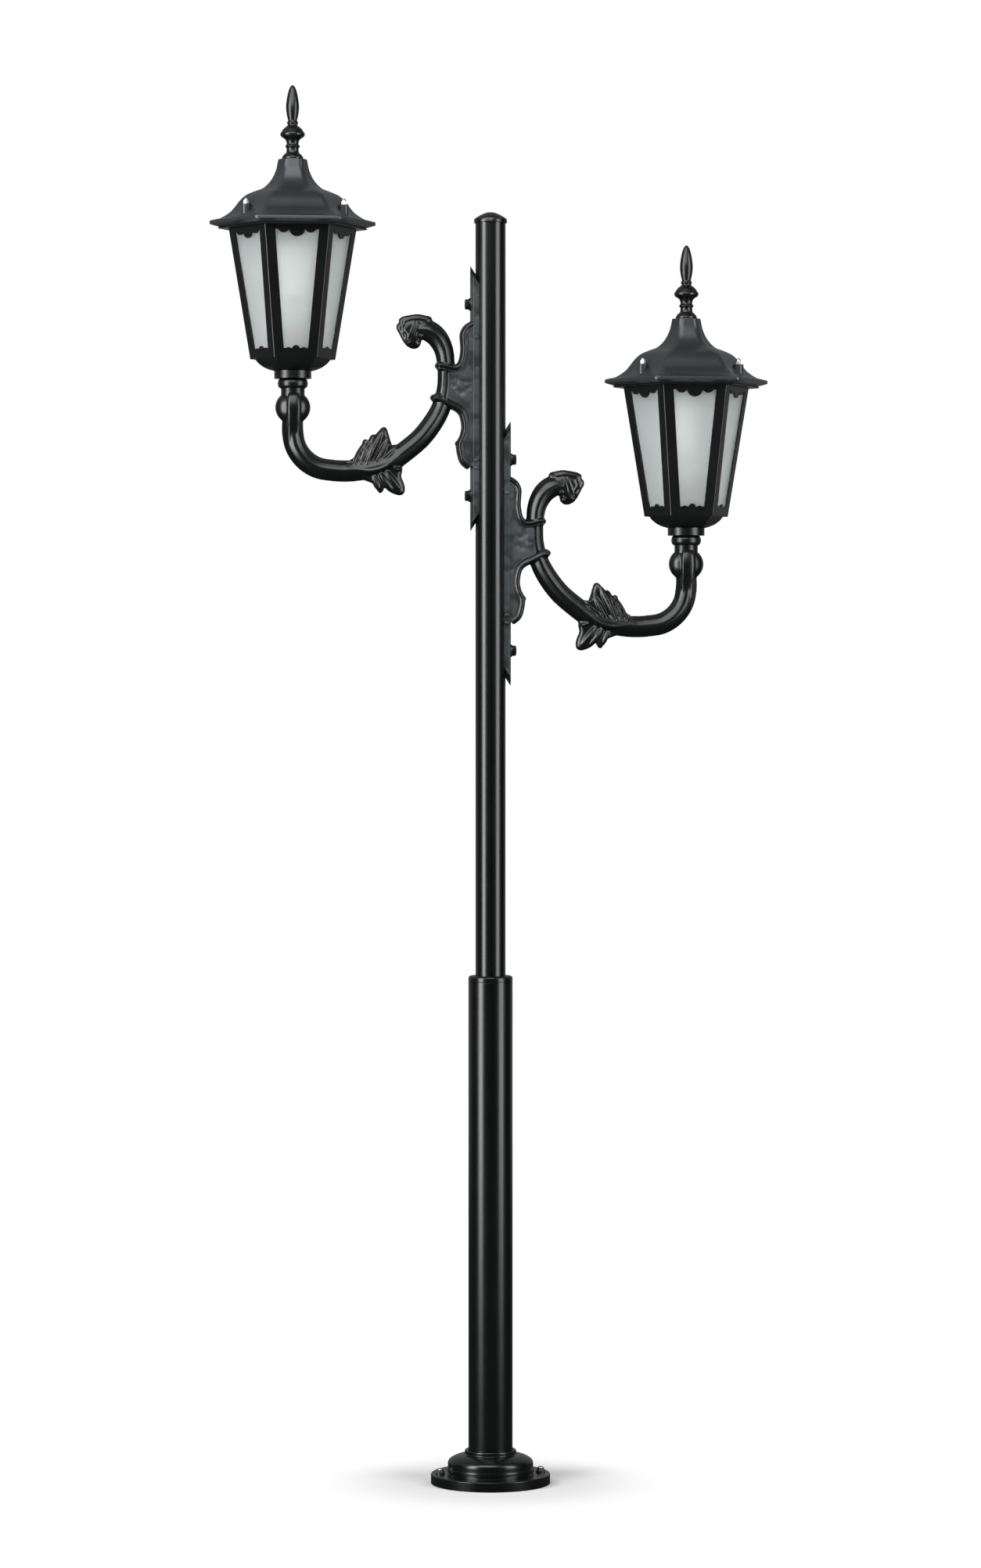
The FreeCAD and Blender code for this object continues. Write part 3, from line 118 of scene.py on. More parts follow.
# Axis of the arm from the lantern to the bud: share of the reach, share of the drop, thickness share
ARM_DROP = 0.144
ARM_SHARES = [
    (1.0, -0.3, 0.96), (1.0, -0.472, 1.0), (0.9855, -0.674, 1.0), (0.944, -0.845, 1.0),
    (0.882, -0.96, 1.0), (0.8085, -1.0, 1.0), (0.718, -1.01, 1.0), (0.5975, -0.9625, 1.0),
    (0.5125, -0.8825, 1.0), (0.428, -0.722, 0.98), (0.351, -0.538, 0.97), (0.29, -0.32, 0.95),
    (0.25, -0.11, 0.9), (0.2292, 0.125, 0.84), (0.2254, 0.3125, 0.82), (0.2277, 0.486, 0.84),
    (0.238, 0.669, 0.9), (0.268, 0.8317, 0.98), (0.3106, 0.9288, 1.0), (0.357, 0.95, 0.9),
    (0.395, 0.92, 0.7),
]
ARM_HALF_THICKNESS = 0.0215
ARM_HALF_BREADTH = 0.02

# Half of the arm's section: share of the thickness, share of the breadth
ARM_SECTION = [(1.06, 0.0), (0.58, 0.74), (0.12, 1.04), (-0.12, 1.04), (-0.6, 0.74), (-1.02, 0.0)]

# Strap that runs up over the knuckle: height from the saddle's middle, half width, half breadth
STRAP_MM = [
    (13, 10.8, 19.0), (3, 12.2, 27.2), (-8, 13.2, 30.8), (-20, 13.8, 32.0), (-34, 13.4, 30.2),
    (-48, 12.8, 26.6), (-60, 12.2, 22.6), (-72, 11.6, 19.8), (-84, 11.0, 17.9), (-96, 10.0, 15.6),
    (-106, 9.0, 12.0),
]
STRAP_SECTION = [(1.0, 0.0), (0.98, 0.82), (0.86, 0.93), (0.5, 0.985), (0.0, 1.0)]

# Middle lines of the two ribs: share of the reach, share of the drop
UPPER_RIB_SHARES = [
    (0.268, 0.452), (0.235, 0.44), (0.2, 0.415), (0.168, 0.42), (0.143, 0.5), (0.1315, 0.66),
    (0.1335, 0.8), (0.1345, 0.89), (0.118, 0.975), (0.085, 1.03),
]
LOWER_RIB_SHARES = [
    (0.292, 0.01), (0.258, -0.01), (0.2093, -0.075), (0.165, -0.135), (0.1385, -0.22), (0.1265, -0.385),
    (0.135, -0.524), (0.153, -0.64), (0.147, -0.78), (0.1345, -0.872), (0.105, -0.94),
]
RIB_HALF_WIDTHS = (0.008, 0.0088)
RIB_HALF_DEPTHS = (0.0205, 0.019)
RIB_EASING = 0.45
RIB_KNOB = Vector((0.006, 0.0165, 0.0062))
RIB_BEAK = ((0.1665, -0.625), Vector((0.006, 0.012, 0.006)))

# Half of a rib's section, a thin bead beside a thick roll: share of the width, share of the depth
RIB_SECTION = [
    (1.0, 0.0), (0.99, 0.8), (0.9, 0.875), (0.74, 0.885), (0.6, 0.83), (0.46, 0.7), (0.34, 0.82),
    (0.1, 0.95), (-0.16, 1.0), (-0.46, 0.95), (-0.72, 0.81), (-0.9, 0.58), (-0.98, 0.3), (-1.0, 0.0),
]
WEB_HALF_THICKNESS = 0.0162
WEB_ARM_SHARES = [(0.249, 0.08), (0.2445, 0.22), (0.243, 0.36)]
WEB_GRID = 0.0022
WEB_CUTS = 72
WEB_DENTS_MM = [(68.5, 37, 4.0, 5.4), (76, 24, 5.0, 4.4), (55, 33, 9.0, 5.0), (60, 12, 8.0, 6.0)]
WEB_DENT_DEPTH = 0.003

# Outlines of the two leaf clusters: share of the reach, share of the drop
UPPER_LEAF_SHARES = [
    (0.775, -0.97), (0.705, -0.875), (0.667, -0.76), (0.654, -0.66), (0.649, -0.595), (0.637, -0.568),
    (0.626, -0.59), (0.62, -0.64), (0.616, -0.56), (0.605, -0.513), (0.59, -0.502), (0.581, -0.535),
    (0.578, -0.59), (0.568, -0.48), (0.557, -0.42), (0.54, -0.396), (0.526, -0.418), (0.516, -0.5),
    (0.505, -0.6), (0.494, -0.668), (0.48, -0.645), (0.464, -0.662), (0.462, -0.76), (0.5, -0.9),
    (0.6, -1.0),
]
LOWER_LEAF_SHARES = [
    (0.72, -1.06), (0.636, -1.145), (0.596, -1.189), (0.584, -1.229), (0.575, -1.284), (0.562, -1.322),
    (0.548, -1.3), (0.538, -1.24), (0.52, -1.285), (0.492, -1.328), (0.458, -1.35), (0.437, -1.315),
    (0.4335, -1.236), (0.441, -1.162), (0.452, -1.08), (0.446, -0.99), (0.457, -0.9), (0.5, -0.86),
    (0.6, -0.95),
]
LEAF_HALF_DEPTHS = (0.0125, 0.0118)
LINE_CUTS = 6

# Middle of the stem that carries the leaves along the bar: share of the reach, share of the drop, swell
STEM_SHARES = [
    (0.735, -0.965, 0.25), (0.7, -0.99, 0.6), (0.655, -1.012, 0.9), (0.605, -1.012, 1.0),
    (0.555, -0.975, 1.0), (0.507, -0.895, 0.9), (0.46, -0.78, 0.6), (0.422, -0.66, 0.25),
]
STEM_HALF = (0.0062, 0.0228)
STEM_DEPTH_SHARES = (0.8, 0.2)
STEM_CORNERS = 20

# Ridges on the leaves' faces: root and tip as shares of the reach and the drop, half width and
# half depth in millimetres, bow sideways in millimetres
LEAF_RIDGES = [
    ((0.702, -0.995), (0.633, -0.605), 5.8, 20.5, -1.5),
    ((0.672, -0.995), (0.596, -0.535), 6.6, 22.0, -3.0),
    ((0.64, -0.985), (0.548, -0.432), 8.8, 24.5, -2.5),
    ((0.6, -0.955), (0.516, -0.535), 7.0, 22.5, 1.0),
    ((0.565, -0.905), (0.474, -0.675), 5.6, 22.0, 2.5),
    ((0.6, -1.05), (0.561, -1.29), 6.0, 18.5, 1.0),
    ((0.572, -1.01), (0.494, -1.292), 7.6, 21.5, 2.0),
    ((0.542, -0.985), (0.453, -1.29), 7.8, 21.5, 1.5),
    ((0.505, -0.95), (0.452, -0.995), 5.0, 20.0, 2.0),
]
LOBE_WIDEST = 0.5
LOBE_THINNING = 0.28
LOBE_TAPER = 2.4
LOBE_PLUMPNESS = 0.55
LOBE_LEAST_GIRTH = 1e-6

# Outline of the bud at the scroll's end, in millimetres
BUD_OUTLINE_MM = [
    (118, 161), (131, 166), (146, 168.5), (160, 167), (171, 165), (179, 162.5), (184.8, 157.5),
    (184.6, 151.5), (189, 147), (190, 139), (185.5, 131), (181, 122), (175.5, 112), (168, 103.5),
    (159, 98.8), (150, 98.5), (143, 103), (139.5, 111), (138.5, 119), (133, 126.5), (125, 131),
    (117, 138),
]
BUD_HALF_DEPTHS = (0.009, 0.015)
BUD_MIDDLE_MM = (149, 135)
BUD_STEP_SHARE = 0.76
BUD_KNOBS_MM = [((142.0, 124.0), 5.2), ((146.5, 108.5), 5.0), ((166.0, 110.5), 4.4), ((133.5, 136.5), 4.0)]
BUD_KNOB_DEPTH = 0.012

# Folds on the bud's faces: root and tip, half width, half depth, bow, in millimetres
BUD_FOLDS_MM = [
    ((122, 158), (184, 151), 5.2, 13.5, -7.0),
    ((158, 156), (179, 130), 6.6, 18.5, -3.0),
    ((154, 156), (171, 114), 6.8, 20.5, -3.0),
    ((148, 155), (159, 106), 6.6, 20.5, -1.5),
    ((144, 142), (147, 104), 4.8, 18.0, 2.0),
    ((150, 148), (121, 143), 5.6, 19.5, 6.0),
]

# A plump form from face to face: share of the half depth, share of the outline
CUSHION_SHARES = [
    (-1.0, 0.6), (-0.88, 0.8), (-0.6, 0.94), (0.0, 1.0), (0.6, 0.94), (0.88, 0.8), (1.0, 0.6),
]
CASTING_GRAIN = 0.0015
CASTING_SOFTENING = 4

# Knuckle, neck and ring under the lantern: radius, height above the saddle's middle, in millimetres
NECK_MM = [
    (0, 2), (23.5, 2), (23.5, 15.5), (24.3, 18.2), (26.6, 19.2), (28.8, 21.6), (29.9, 26.0),
    (29.8, 30.5), (28.4, 34.6), (26.4, 37.0), (25.6, 37.6), (20.0, 37.6), (20.0, 48.6), (0, 48.6),
]
KNUCKLE_DROP = -0.02
KNUCKLE_HALF = Vector((0.0352, 0.0272, 0.033))

# Saddle's pointed end: share of the half width, share of the tip's drop
OGEE_SHARES = [
    (0.0, 0.0), (0.14, 0.06), (0.24, 0.34), (0.4, 0.62), (0.62, 0.8), (0.84, 0.9), (1.0, 1.0),
]
SADDLE_TIP_DROP = 0.021
SADDLE_TIP_SLANT = 0.016
SADDLE_HALF_WIDTH = 0.018
SADDLE_WALL = 0.01035
SADDLE_GAP = 0.0003
SADDLE_STRIPS = 8
BOLT_RISES = (0.1885, -0.1945)
PAD_RADIUS = 0.0135
PAD_PROUD = 0.0006
BEADS_MM = [(31.5, 122.0), (31.5, -123.0), (31.5, -138.5)]
BEAD_HALF = Vector((0.0058, 0.004, 0.0048))
BEAD_SPREAD = 0.0172

# Cross-section of a roof from rim to platform, in millimetres: corner radius, height above the rim
ROOF_MM = [
    (168.0, 0.4), (168.0, 6.0), (166.8, 7.2), (156.0, 9.6), (144.1, 13.5), (127.0, 24.6), (117.1, 35.7),
    (107.4, 48.1), (94.9, 59.0), (77.7, 66.6), (60.5, 73.5), (45.5, 88.6), (36.0, 107.5), (32.3, 123.4),
    (31.2, 129.6),
]
ROOF_WALL_MM = 3.0
ROOF_WALL_SLANT = 1.15
ROOF_INSIDE_FROM_MM = 9
ROOF_STEP_MM = 0.8
ROOF_RISE = 0.0054
ROOF_LIP_MM = [(144.7, 3.0), (144.7, -5.1), (148.4, -5.1)]
ROOF_HOLE_MM = 5.3
BOSS_MM = [(9.9, -5.4), (9.9, 35.2), (9.1, 36.1), (3.4, 36.1), (3.4, -5.4)]
BOSS_OFFSET = 0.112
BOSS_AZIMUTHS = (90, 210, 330)

# Finial from its foot to its tip: radius in millimetres, height in millimetres
FINIAL_MM = [
    (5.0, -11.0), (5.0, 0.0), (21.0, 0.0), (21.3, 1.0), (21.1, 3.8), (20.5, 4.9), (18.2, 8.3),
    (14.9, 11.3), (13.0, 13.4), (12.1, 17.8), (12.3, 22.0), (13.4, 23.6), (14.8, 25.6), (13.5, 27.6),
    (12.2, 29.4), (11.9, 32.4), (13.3, 36.8), (14.9, 39.3), (17.7, 41.7), (21.6, 44.0), (23.8, 46.5),
    (24.5, 48.9), (24.2, 51.4), (22.6, 53.8), (20.5, 57.2), (17.9, 60.8), (13.8, 64.2), (10.5, 66.8),
    (9.7, 69.2), (10.6, 70.6), (11.3, 72.2), (10.4, 74.2), (9.1, 76.9), (9.7, 79.9), (11.3, 87.0),
    (12.4, 94.2), (13.0, 101.3), (12.9, 108.5), (12.1, 115.6), (11.0, 122.8), (9.6, 129.9),
    (7.7, 137.1), (5.7, 141.9), (4.3, 144.2), (2.0, 146.7), (0.0, 147.4),
]

# Base cover, outside and inside, in millimetres: radius, height above the foot's step
COVER_OUTSIDE_MM = [
    (87.3, 0.0), (87.3, 6.6), (86.3, 7.9), (85.9, 8.8), (85.8, 17.0), (84.8, 21.2), (81.8, 25.0),
    (76.5, 28.4), (70.0, 31.2), (63.0, 33.4), (57.0, 34.5), (53.4, 35.3), (51.9, 36.2), (51.8, 38.0),
    (51.8, 41.6), (51.2, 43.2), (49.8, 44.0), (46.4, 44.0), (45.5, 43.4),
]
COVER_INSIDE_MM = [(45.45, 30.0), (70.0, 27.0), (81.8, 17.0), (82.0, 0.0)]

# Post cap above the tube's edge, in millimetres: radius, height
CAP_MM = [
    (0, -35), (26.6, -35), (26.6, 0.0), (32.2, 0.0), (33.0, 0.8), (33.0, 7.4), (32.4, 8.6), (31.0, 9.2),
    (30.4, 9.7), (28.4, 11.4), (24.2, 14.0), (19.8, 16.4), (13.6, 19.3), (7.0, 21.4), (0, 22.2),
]

# Bowl under the cage, in millimetres: corner radius, height above the bowl's foot
BOWL_MM = [
    (11.3, 0.0), (38.6, 0.0), (40.4, 0.6), (47.2, 2.4), (54.3, 5.3), (60.6, 8.4), (65.1, 11.7),
    (69.2, 14.8), (72.0, 18.0), (74.6, 21.2), (75.4, 23.0), (58.5, 23.0), (58.5, 17.5), (65.0, 15.6),
    (55.0, 8.6), (42.0, 3.0), (11.3, 3.0),
]
GLOBE_MM = [
    (0, 0), (13.2, 0.0), (13.6, 4.0), (15.2, 11.0), (20.5, 21.0), (25.6, 31.0), (29.0, 41.5),
    (30.0, 51.0), (28.6, 61.5), (23.6, 71.0), (14.6, 77.6), (6.0, 79.8), (0, 80.0),
]


def length(name, description, default, low, high):
    """A length that a user can change."""
    return FloatProperty(name=name, description=description, default=default, min=low, max=high,
                         unit="LENGTH", precision=4)


def factor(name, description, default, low=0.0):
    """A share that a user can change."""
    return FloatProperty(name=name, description=description, default=default, min=low, max=1,
                         subtype="FACTOR")


def shade(name, description, default):
    """A colour that a user can change."""
    return FloatVectorProperty(name=name, description=description, default=default, min=0, max=1,
                               subtype="COLOR")


class PostSizes(bpy.types.PropertyGroup):
    """Roundings and fineness of the lamp post's visible pieces."""

    edge_rounding: length("Edge rounding", "Radius on the edges of machined pieces", 0.0009, 0.0001, 0.004)
    cast_rounding: length("Casting rounding", "Radius on the arm's long edges", 0.0021, 0.0002, 0.006)
    ridge_rounding: length("Roof ridge rounding", "Radius on the six ridges of a roof", 0.0075, 0.001, 0.02)
    corner_rounding: length(
        "Lantern corner rounding", "Radius on the six corners of a lantern's frame", 0.0017, 0.0002, 0.006)
    vein_depth: factor("Vein depth", "Depth of the leaves' veins as a share of their thickness", 0.06)
    turned_steps: IntProperty(
        name="Turned steps", description="Faces around a turned piece", default=128, min=24, max=256)


class PostColours(bpy.types.PropertyGroup):
    """Finishes of the lamp post."""

    coat: shade("Powder coat", "Semi-gloss black on the tubes and castings", (0.0013, 0.0017, 0.0019))
    # The web coat is partly a duller finish and partly painted light: its colour is paler than the coat, as
    # a painted sheen on the flat webs and brackets
    web: shade("Web coat", "Duller black on the brackets and on the webs between the ribs",
               (0.0062, 0.0072, 0.0077))
    roof: shade("Roof coat", "Satin black on the roofs", (0.015, 0.0175, 0.019))
    glass: shade("Frosted glass", "Tint of the frosted panes", (0.865, 0.905, 0.895))
    zinc: shade("Zinc", "Zinc-plated screws and sheet", (0.52, 0.53, 0.54))
    bright: shade("Bright plating", "Cap nuts on the foot and on the roofs", (0.50, 0.50, 0.49))
    holder: shade("Lampholder", "Glazed lampholder behind the panes", (0.37, 0.31, 0.29))
    coat_roughness: factor("Coat roughness", "Roughness of the semi-gloss powder coat", 0.25, 0.02)
    roof_roughness: factor("Roof roughness", "Roughness of the satin powder coat", 0.34, 0.02)


class PostStage(bpy.types.PropertyGroup):
    """Camera, floor and lamps around the lamp post."""

    camera_distance: length("Camera distance", "From the post's axis", 9.83, 2, 40)
    camera_azimuth: FloatProperty(
        name="Camera azimuth", description="Turn of the view about the post",
        default=math.radians(-7), min=-math.pi, max=math.pi, subtype="ANGLE")
    camera_height: length("Camera height", "Eye height above the ground", 1.643, 0.1, 5)
    aim_height: length("Aim height", "Height on the post at the middle of the picture", 1.408, 0, 4)
    view_height: length("View height", "Height of the picture at the post", 3.148, 0.5, 20)
    floor_shade: factor("Floor shade", "How pale the floor is near the foot", 0.66)
    fill_level: FloatProperty(
        name="Fill level", description="Strength of the room's soft light", default=0.30, min=0, max=4)


class Socket:
    """One socket of a node tree. Arithmetic on it adds Math nodes."""

    def __init__(self, nodes, socket):
        self.nodes = nodes
        self.socket = socket

    def math(self, operation, *values):
        """A Math node on some values or sockets."""
        return self.nodes.add("Math", dict(enumerate(values)), operation=operation)

    def __add__(self, other):
        return self.math("ADD", self, other)

    def __sub__(self, other):
        return self.math("SUBTRACT", self, other)

    def __rsub__(self, other):
        return self.math("SUBTRACT", other, self)

    def __mul__(self, other):
        return self.math("MULTIPLY", self, other)

    def larger(self, other):
        """The larger one of two values."""
        return self.math("MAXIMUM", self, other)

    def ramp(self, low, high):
        """Zero at low, one at high, eased in between."""
        inputs = {"Value": self, "From Min": low, "From Max": high}
        return self.nodes.add("MapRange", inputs, interpolation_type="SMOOTHSTEP")

    __radd__ = __add__
    __rmul__ = __mul__


class Nodes:
    """Builds the node tree of a material or of the world."""

    def __init__(self, owner):
        owner.use_nodes = True
        self.tree = owner.node_tree
        self.tree.nodes.clear()

    def add(self, kind, inputs=(), output=0, **settings):
        """Add a node, its settings first, then the values or links of its sockets. Gives one output."""
        node = self.tree.nodes.new("ShaderNode" + kind)
        for name, value in settings.items():
            setattr(node, name, value)
        for key, value in dict(inputs).items():
            if isinstance(value, Socket):
                self.tree.links.new(value.socket, node.inputs[key])
            else:
                node.inputs[key].default_value = value
        return Socket(self, node.outputs[output]) if node.outputs else None

    def mixed(self, share, first, second):
        """A blend of two colours."""
        inputs = {0: share, 6: first, 7: second}
        return self.add("Mix", inputs, output=2, data_type="RGBA")


# Patterns of the finishes: noise scales, roughly how many to a metre, how much shorter scratches are
# along the upright, and the levels of the noise between which a dent fades in
MOTTLE_SCALE, SPECKLE_SCALE, DENT_SCALE = 9.0, 900.0, 38.0
PATCH_SCALE, ETCHING_SCALE, HAZE_SCALE = 120.0, 1400.0, 14.0
SCRATCH_STRETCH = (1.0, 1.0, 9.0)
DENT_EDGES = (0.30, 0.62)

# Shares of the powder coat's colour where it is dark, pale and painted paler in its dents as a sheen, how
# far mottle and speckle change its colour and its roughness, and the glow of an opal globe
COAT_SHADES = (0.72, 1.35, 6.5)
COAT_COLOUR_SHARES = (0.7, 0.3)
COAT_GLOSS_SHARES = (0.09, 0.02)
GLOW_COLOUR = (1.0, 0.985, 0.96)


def rgba(colour, brightness=1.0):
    """A colour with a full alpha, brighter or darker by a share."""
    return tuple(min(1.0, channel * brightness) for channel in colour) + (1.0,)


def finish(name):
    """A new material, its node builder and its Object coordinates."""
    material = bpy.data.materials.new(name)
    nodes = Nodes(material)
    return material, nodes, nodes.add("TexCoord", output="Object")


def noise(nodes, places, scale, detail=3.0, roughness=0.5):
    """A grey noise between 0 and 1."""
    inputs = {"Vector": places, "Scale": scale, "Detail": detail, "Roughness": roughness}
    return nodes.add("TexNoise", inputs)


def bump(nodes, height, strength=1.0, distance=1.0):
    """A normal from a height."""
    return nodes.add("Bump", {"Strength": strength, "Distance": distance, "Height": height})


def shaded(nodes, base, roughness, normal, others=()):
    """Give a material its Principled shader."""
    inputs = {"Base Color": base, "Roughness": roughness, "Normal": normal, **dict(others)}
    nodes.add("OutputMaterial", {"Surface": nodes.add("BsdfPrincipled", inputs)})


def powder_coat(name, colour, roughness, grain, grain_depth, dents=0.0):
    """Powder coat: orange peel, a faint mottle in colour and gloss, and dents where the metal is cast,
    painted much paler inside as a sheen.
    """
    material, nodes, places = finish(name)
    mottle = noise(nodes, places, MOTTLE_SCALE, 4.0)
    speckle = noise(nodes, places, SPECKLE_SCALE, 2.0)
    height = noise(nodes, places, grain, 2.0, 0.4) * grain_depth
    (broad, fine), (dark, pale, painted_sheen) = COAT_COLOUR_SHARES, COAT_SHADES
    base = nodes.mixed(mottle * broad + speckle * fine, rgba(colour, dark), rgba(colour, pale))
    if dents:
        hollow = noise(nodes, places, DENT_SCALE, 1.0, 0.4).ramp(*DENT_EDGES)
        height = height + hollow * dents
        # Painted sheen: the dents are painted many times paler than the coat, standing in for light caught
        # on the web's faces
        base = nodes.mixed(hollow * mottle, base, rgba(colour, painted_sheen))
    broad, fine = COAT_GLOSS_SHARES
    gloss = mottle * broad + speckle * fine + (roughness - (broad + fine) / 2)
    shaded(nodes, base, gloss, bump(nodes, height), {"Specular IOR Level": 0.5})
    return material


def plated(name, colour, roughness, brushing):
    """Plated steel with fine scratches and duller patches."""
    material, nodes, places = finish(name)
    stretched = nodes.add("Mapping", {"Vector": places, "Scale": SCRATCH_STRETCH})
    scratches = noise(nodes, stretched, brushing, 4.0, 0.6)
    patches = noise(nodes, places, PATCH_SCALE, 3.0)
    base = nodes.mixed(patches, rgba(colour, 0.82), rgba(colour, 1.1))
    gloss = patches * 0.14 + (roughness - 0.05)
    shaded(nodes, base, gloss, bump(nodes, scratches, 0.5, 0.0001), {"Metallic": 1.0})
    return material


def moulded(name, colour, roughness, grain, emission=0.0):
    """Rubber, plastic, ceramic or opal glass: a plain body with a fine grain."""
    material, nodes, places = finish(name)
    grey = noise(nodes, places, grain, 3.0)
    base = nodes.mixed(grey, rgba(colour, 0.9), rgba(colour, 1.06))
    glow = {"Emission Color": rgba(GLOW_COLOUR), "Emission Strength": emission} if emission else {}
    shaded(nodes, base, grey * 0.1 + (roughness - 0.05), bump(nodes, grey, 0.4, 0.0002), glow)
    return material


def frosted_glass(name, colour):
    """Etched glass that blurs what is behind it."""
    material, nodes, places = finish(name)
    etching = noise(nodes, places, ETCHING_SCALE, 2.0)
    haze = noise(nodes, places, HAZE_SCALE, 3.0)
    base = nodes.mixed(haze, rgba(colour, 0.97), rgba(colour, 1.02))
    clear = {"Transmission Weight": 0.9, "IOR": 1.45}
    shaded(nodes, base, haze * 0.08 + 0.4, bump(nodes, etching, 0.3, 0.0001), clear)
    return material


def make_finishes():
    """All finishes of the lamp post, by name. Most are the record's slots."""
    colours = bpy.context.scene.post_colours
    coat, gloss = colours.coat, colours.coat_roughness
    recipes = [
        (powder_coat, "black_paint", coat, gloss, 60.0, 0.000003),
        (powder_coat, "black_casting", coat, gloss + 0.05, 110.0, 0.000012),
        (powder_coat, "cast_bowl", coat, 0.42, 300.0, 0.000008),
        # The web coat is painted paler than the coat, and paler still in its dents, as a painted sheen
        (powder_coat, "cast_web", colours.web, 0.44, 260.0, 0.00002, 0.0016),
        (powder_coat, "roof_paint", colours.roof, colours.roof_roughness, 380.0, 0.000004),
        (powder_coat, "black_fastener", coat, gloss + 0.05, 600.0, 0.000002),
        (plated, "bare_steel", colours.zinc, 0.38, 700.0),
        (plated, "bright_nut", colours.bright, 0.34, 500.0),
        (plated, "dark_washer", (0.09, 0.09, 0.095), 0.42, 600.0),
        (moulded, "rubber", (0.02, 0.02, 0.02), 0.7, 600.0),
        (frosted_glass, "frosted_glass", colours.glass),
        (moulded, "holder_ceramic", colours.holder, 0.45, 90.0),
        (plated, "bulb_cap_metal", (0.66, 0.58, 0.40), 0.3, 700.0),
        (moulded, "bulb_glass", (0.60, 0.61, 0.60), 0.3, 200.0, 0.02),
        (moulded, "block_plastic", (0.80, 0.80, 0.77), 0.45, 300.0),
    ]
    return {name: make(name, *values) for make, name, *values in recipes}


FINISHES = {}


def finish_called(name):
    """One of the finishes, which are all made once."""
    if not FINISHES:
        FINISHES.update(make_finishes())
    return FINISHES[name]


def slot_of(node):
    """The record's material slot of a CAD node."""
    return next(part["material_slot"] for part in frame["record"]["subparts"] if part["node"] == node)


def body_of(node):
    """The body that a CAD node belongs to."""
    return frame["nodes"][node]["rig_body"]


def point(share, rise):
    """A point in an arm's plane from shares of the reach and of the drop."""
    return Vector((share * REACH, 0, rise * ARM_DROP))


def smooth_line(points, cuts):
    """Points on a smooth line through the given ones, with cuts steps between each pair."""
    points = [Vector(entry) for entry in points]
    line = []
    for index in range(len(points) - 1):
        start, end = points[index], points[index + 1]
        before, after = points[max(index - 1, 0)], points[min(index + 2, len(points) - 1)]
        leave, arrive = (end - before) / 6, (after - start) / 6
        line += interpolate_bezier(start, start + leave, end - arrive, end, cuts + 1)[:-1]
    return line + [points[-1]]


def smooth_pairs(pairs, cuts):
    """The same smooth line for pairs of numbers."""
    return [tuple(entry[:2]) for entry in smooth_line([(*pair, 0) for pair in pairs], cuts)]


def verts_in(made):
    """The vertices among what an operator made."""
    return [item for item in made if isinstance(item, bmesh.types.BMVert)]


def face_outwards(mesh):
    """Turn the faces of a closed bmesh outwards."""
    bmesh.ops.recalc_face_normals(mesh, faces=mesh.faces)
    if mesh.calc_volume(signed=True) < 0:
        bmesh.ops.reverse_faces(mesh, faces=mesh.faces)


def cut(mesh, place, normal):
    """Divide the faces of a bmesh along a plane."""
    bmesh.ops.bisect_plane(mesh, geom=mesh.verts[:] + mesh.edges[:] + mesh.faces[:],
                           plane_co=place, plane_no=normal)


def mesh_data(mesh, name):
    """The mesh data of a finished bmesh."""
    data = bpy.data.meshes.new(name)
    mesh.to_mesh(data)
    mesh.free()
    return data


def in_scene(name, data):
    """A new object in the scene."""
    thing = bpy.data.objects.new(name, data)
    bpy.context.scene.collection.objects.link(thing)
    return thing


def outline_face(mesh, places):
    """Fill a closed outline with one flat face, and give the outline's edges."""
    verts = [mesh.verts.new(place) for place in places]
    edges = [mesh.edges.new((verts[index - 1], verts[index])) for index in range(len(verts))]
    bmesh.ops.edgeloop_fill(mesh, edges=edges)
    return edges


def sweep(mesh, section, stations):
    """Carry a closed section through a row of station matrices, with flat ends."""
    edges = outline_face(mesh, [stations[0] @ Vector((*pair, 0)) for pair in section])
    for before, after in zip(stations, stations[1:]):
        made = bmesh.ops.extrude_edge_only(mesh, edges=edges)["geom"]
        verts = verts_in(made)
        ring = set(verts)
        edges = [item for item in made
                 if isinstance(item, bmesh.types.BMEdge) and set(item.verts) <= ring]
        bmesh.ops.transform(mesh, matrix=after @ before.inverted(), verts=verts)
    bmesh.ops.edgeloop_fill(mesh, edges=edges)


def mirrored(half_section):
    """A whole section from the half of it with a positive depth."""
    return half_section + [(across, -depth) for across, depth in half_section[-2:0:-1]]


def stations_along(line, sizes):
    """Stations along a line in the arm's plane, each with a half size across and one in depth."""
    places = [Vector((entry[0], 0, entry[1])) for entry in line]
    result = []
    for index, (place, (half_across, half_depth)) in enumerate(zip(places, sizes)):
        along = places[min(index + 1, len(places) - 1)] - places[max(index - 1, 0)]
        along.normalize()
        matrix = Matrix.Identity(4)
        matrix.col[0] = (*(along.cross(BACK) * half_across), 0)
        matrix.col[1] = (*(BACK * half_depth), 0)
        matrix.col[2] = (*along, 0)
        matrix.col[3] = (*place, 1)
        result.append(matrix)
    return result


def plump_section(count):
    """A closed section of half size 1 that is blunt in depth."""
    angles = [FULL_TURN * (index + 0.5) / count for index in range(count)]
    return [(math.cos(angle), math.copysign(abs(math.sin(angle)) ** LOBE_PLUMPNESS, math.sin(angle)))
            for angle in angles]


def turned(profile, steps=None, scale=MM):
    """A bmesh of a profile of (radius, height) spun about the upright axis."""
    mesh = bmesh.new()
    verts = [mesh.verts.new((radius * scale, 0, height * scale)) for radius, height in profile]
    edges = [mesh.edges.new(pair) for pair in zip(verts, verts[1:])]
    steps = steps or bpy.context.scene.post_sizes.turned_steps
    bmesh.ops.spin(mesh, geom=verts + edges, cent=(0, 0, 0), axis=UP, angle=FULL_TURN, steps=steps,
                   use_merge=True)
    bmesh.ops.remove_doubles(mesh, verts=mesh.verts, dist=MERGE)
    face_outwards(mesh)
    return mesh


def closed(profile):
    """A profile that ends where it starts."""
    return profile + profile[:1]


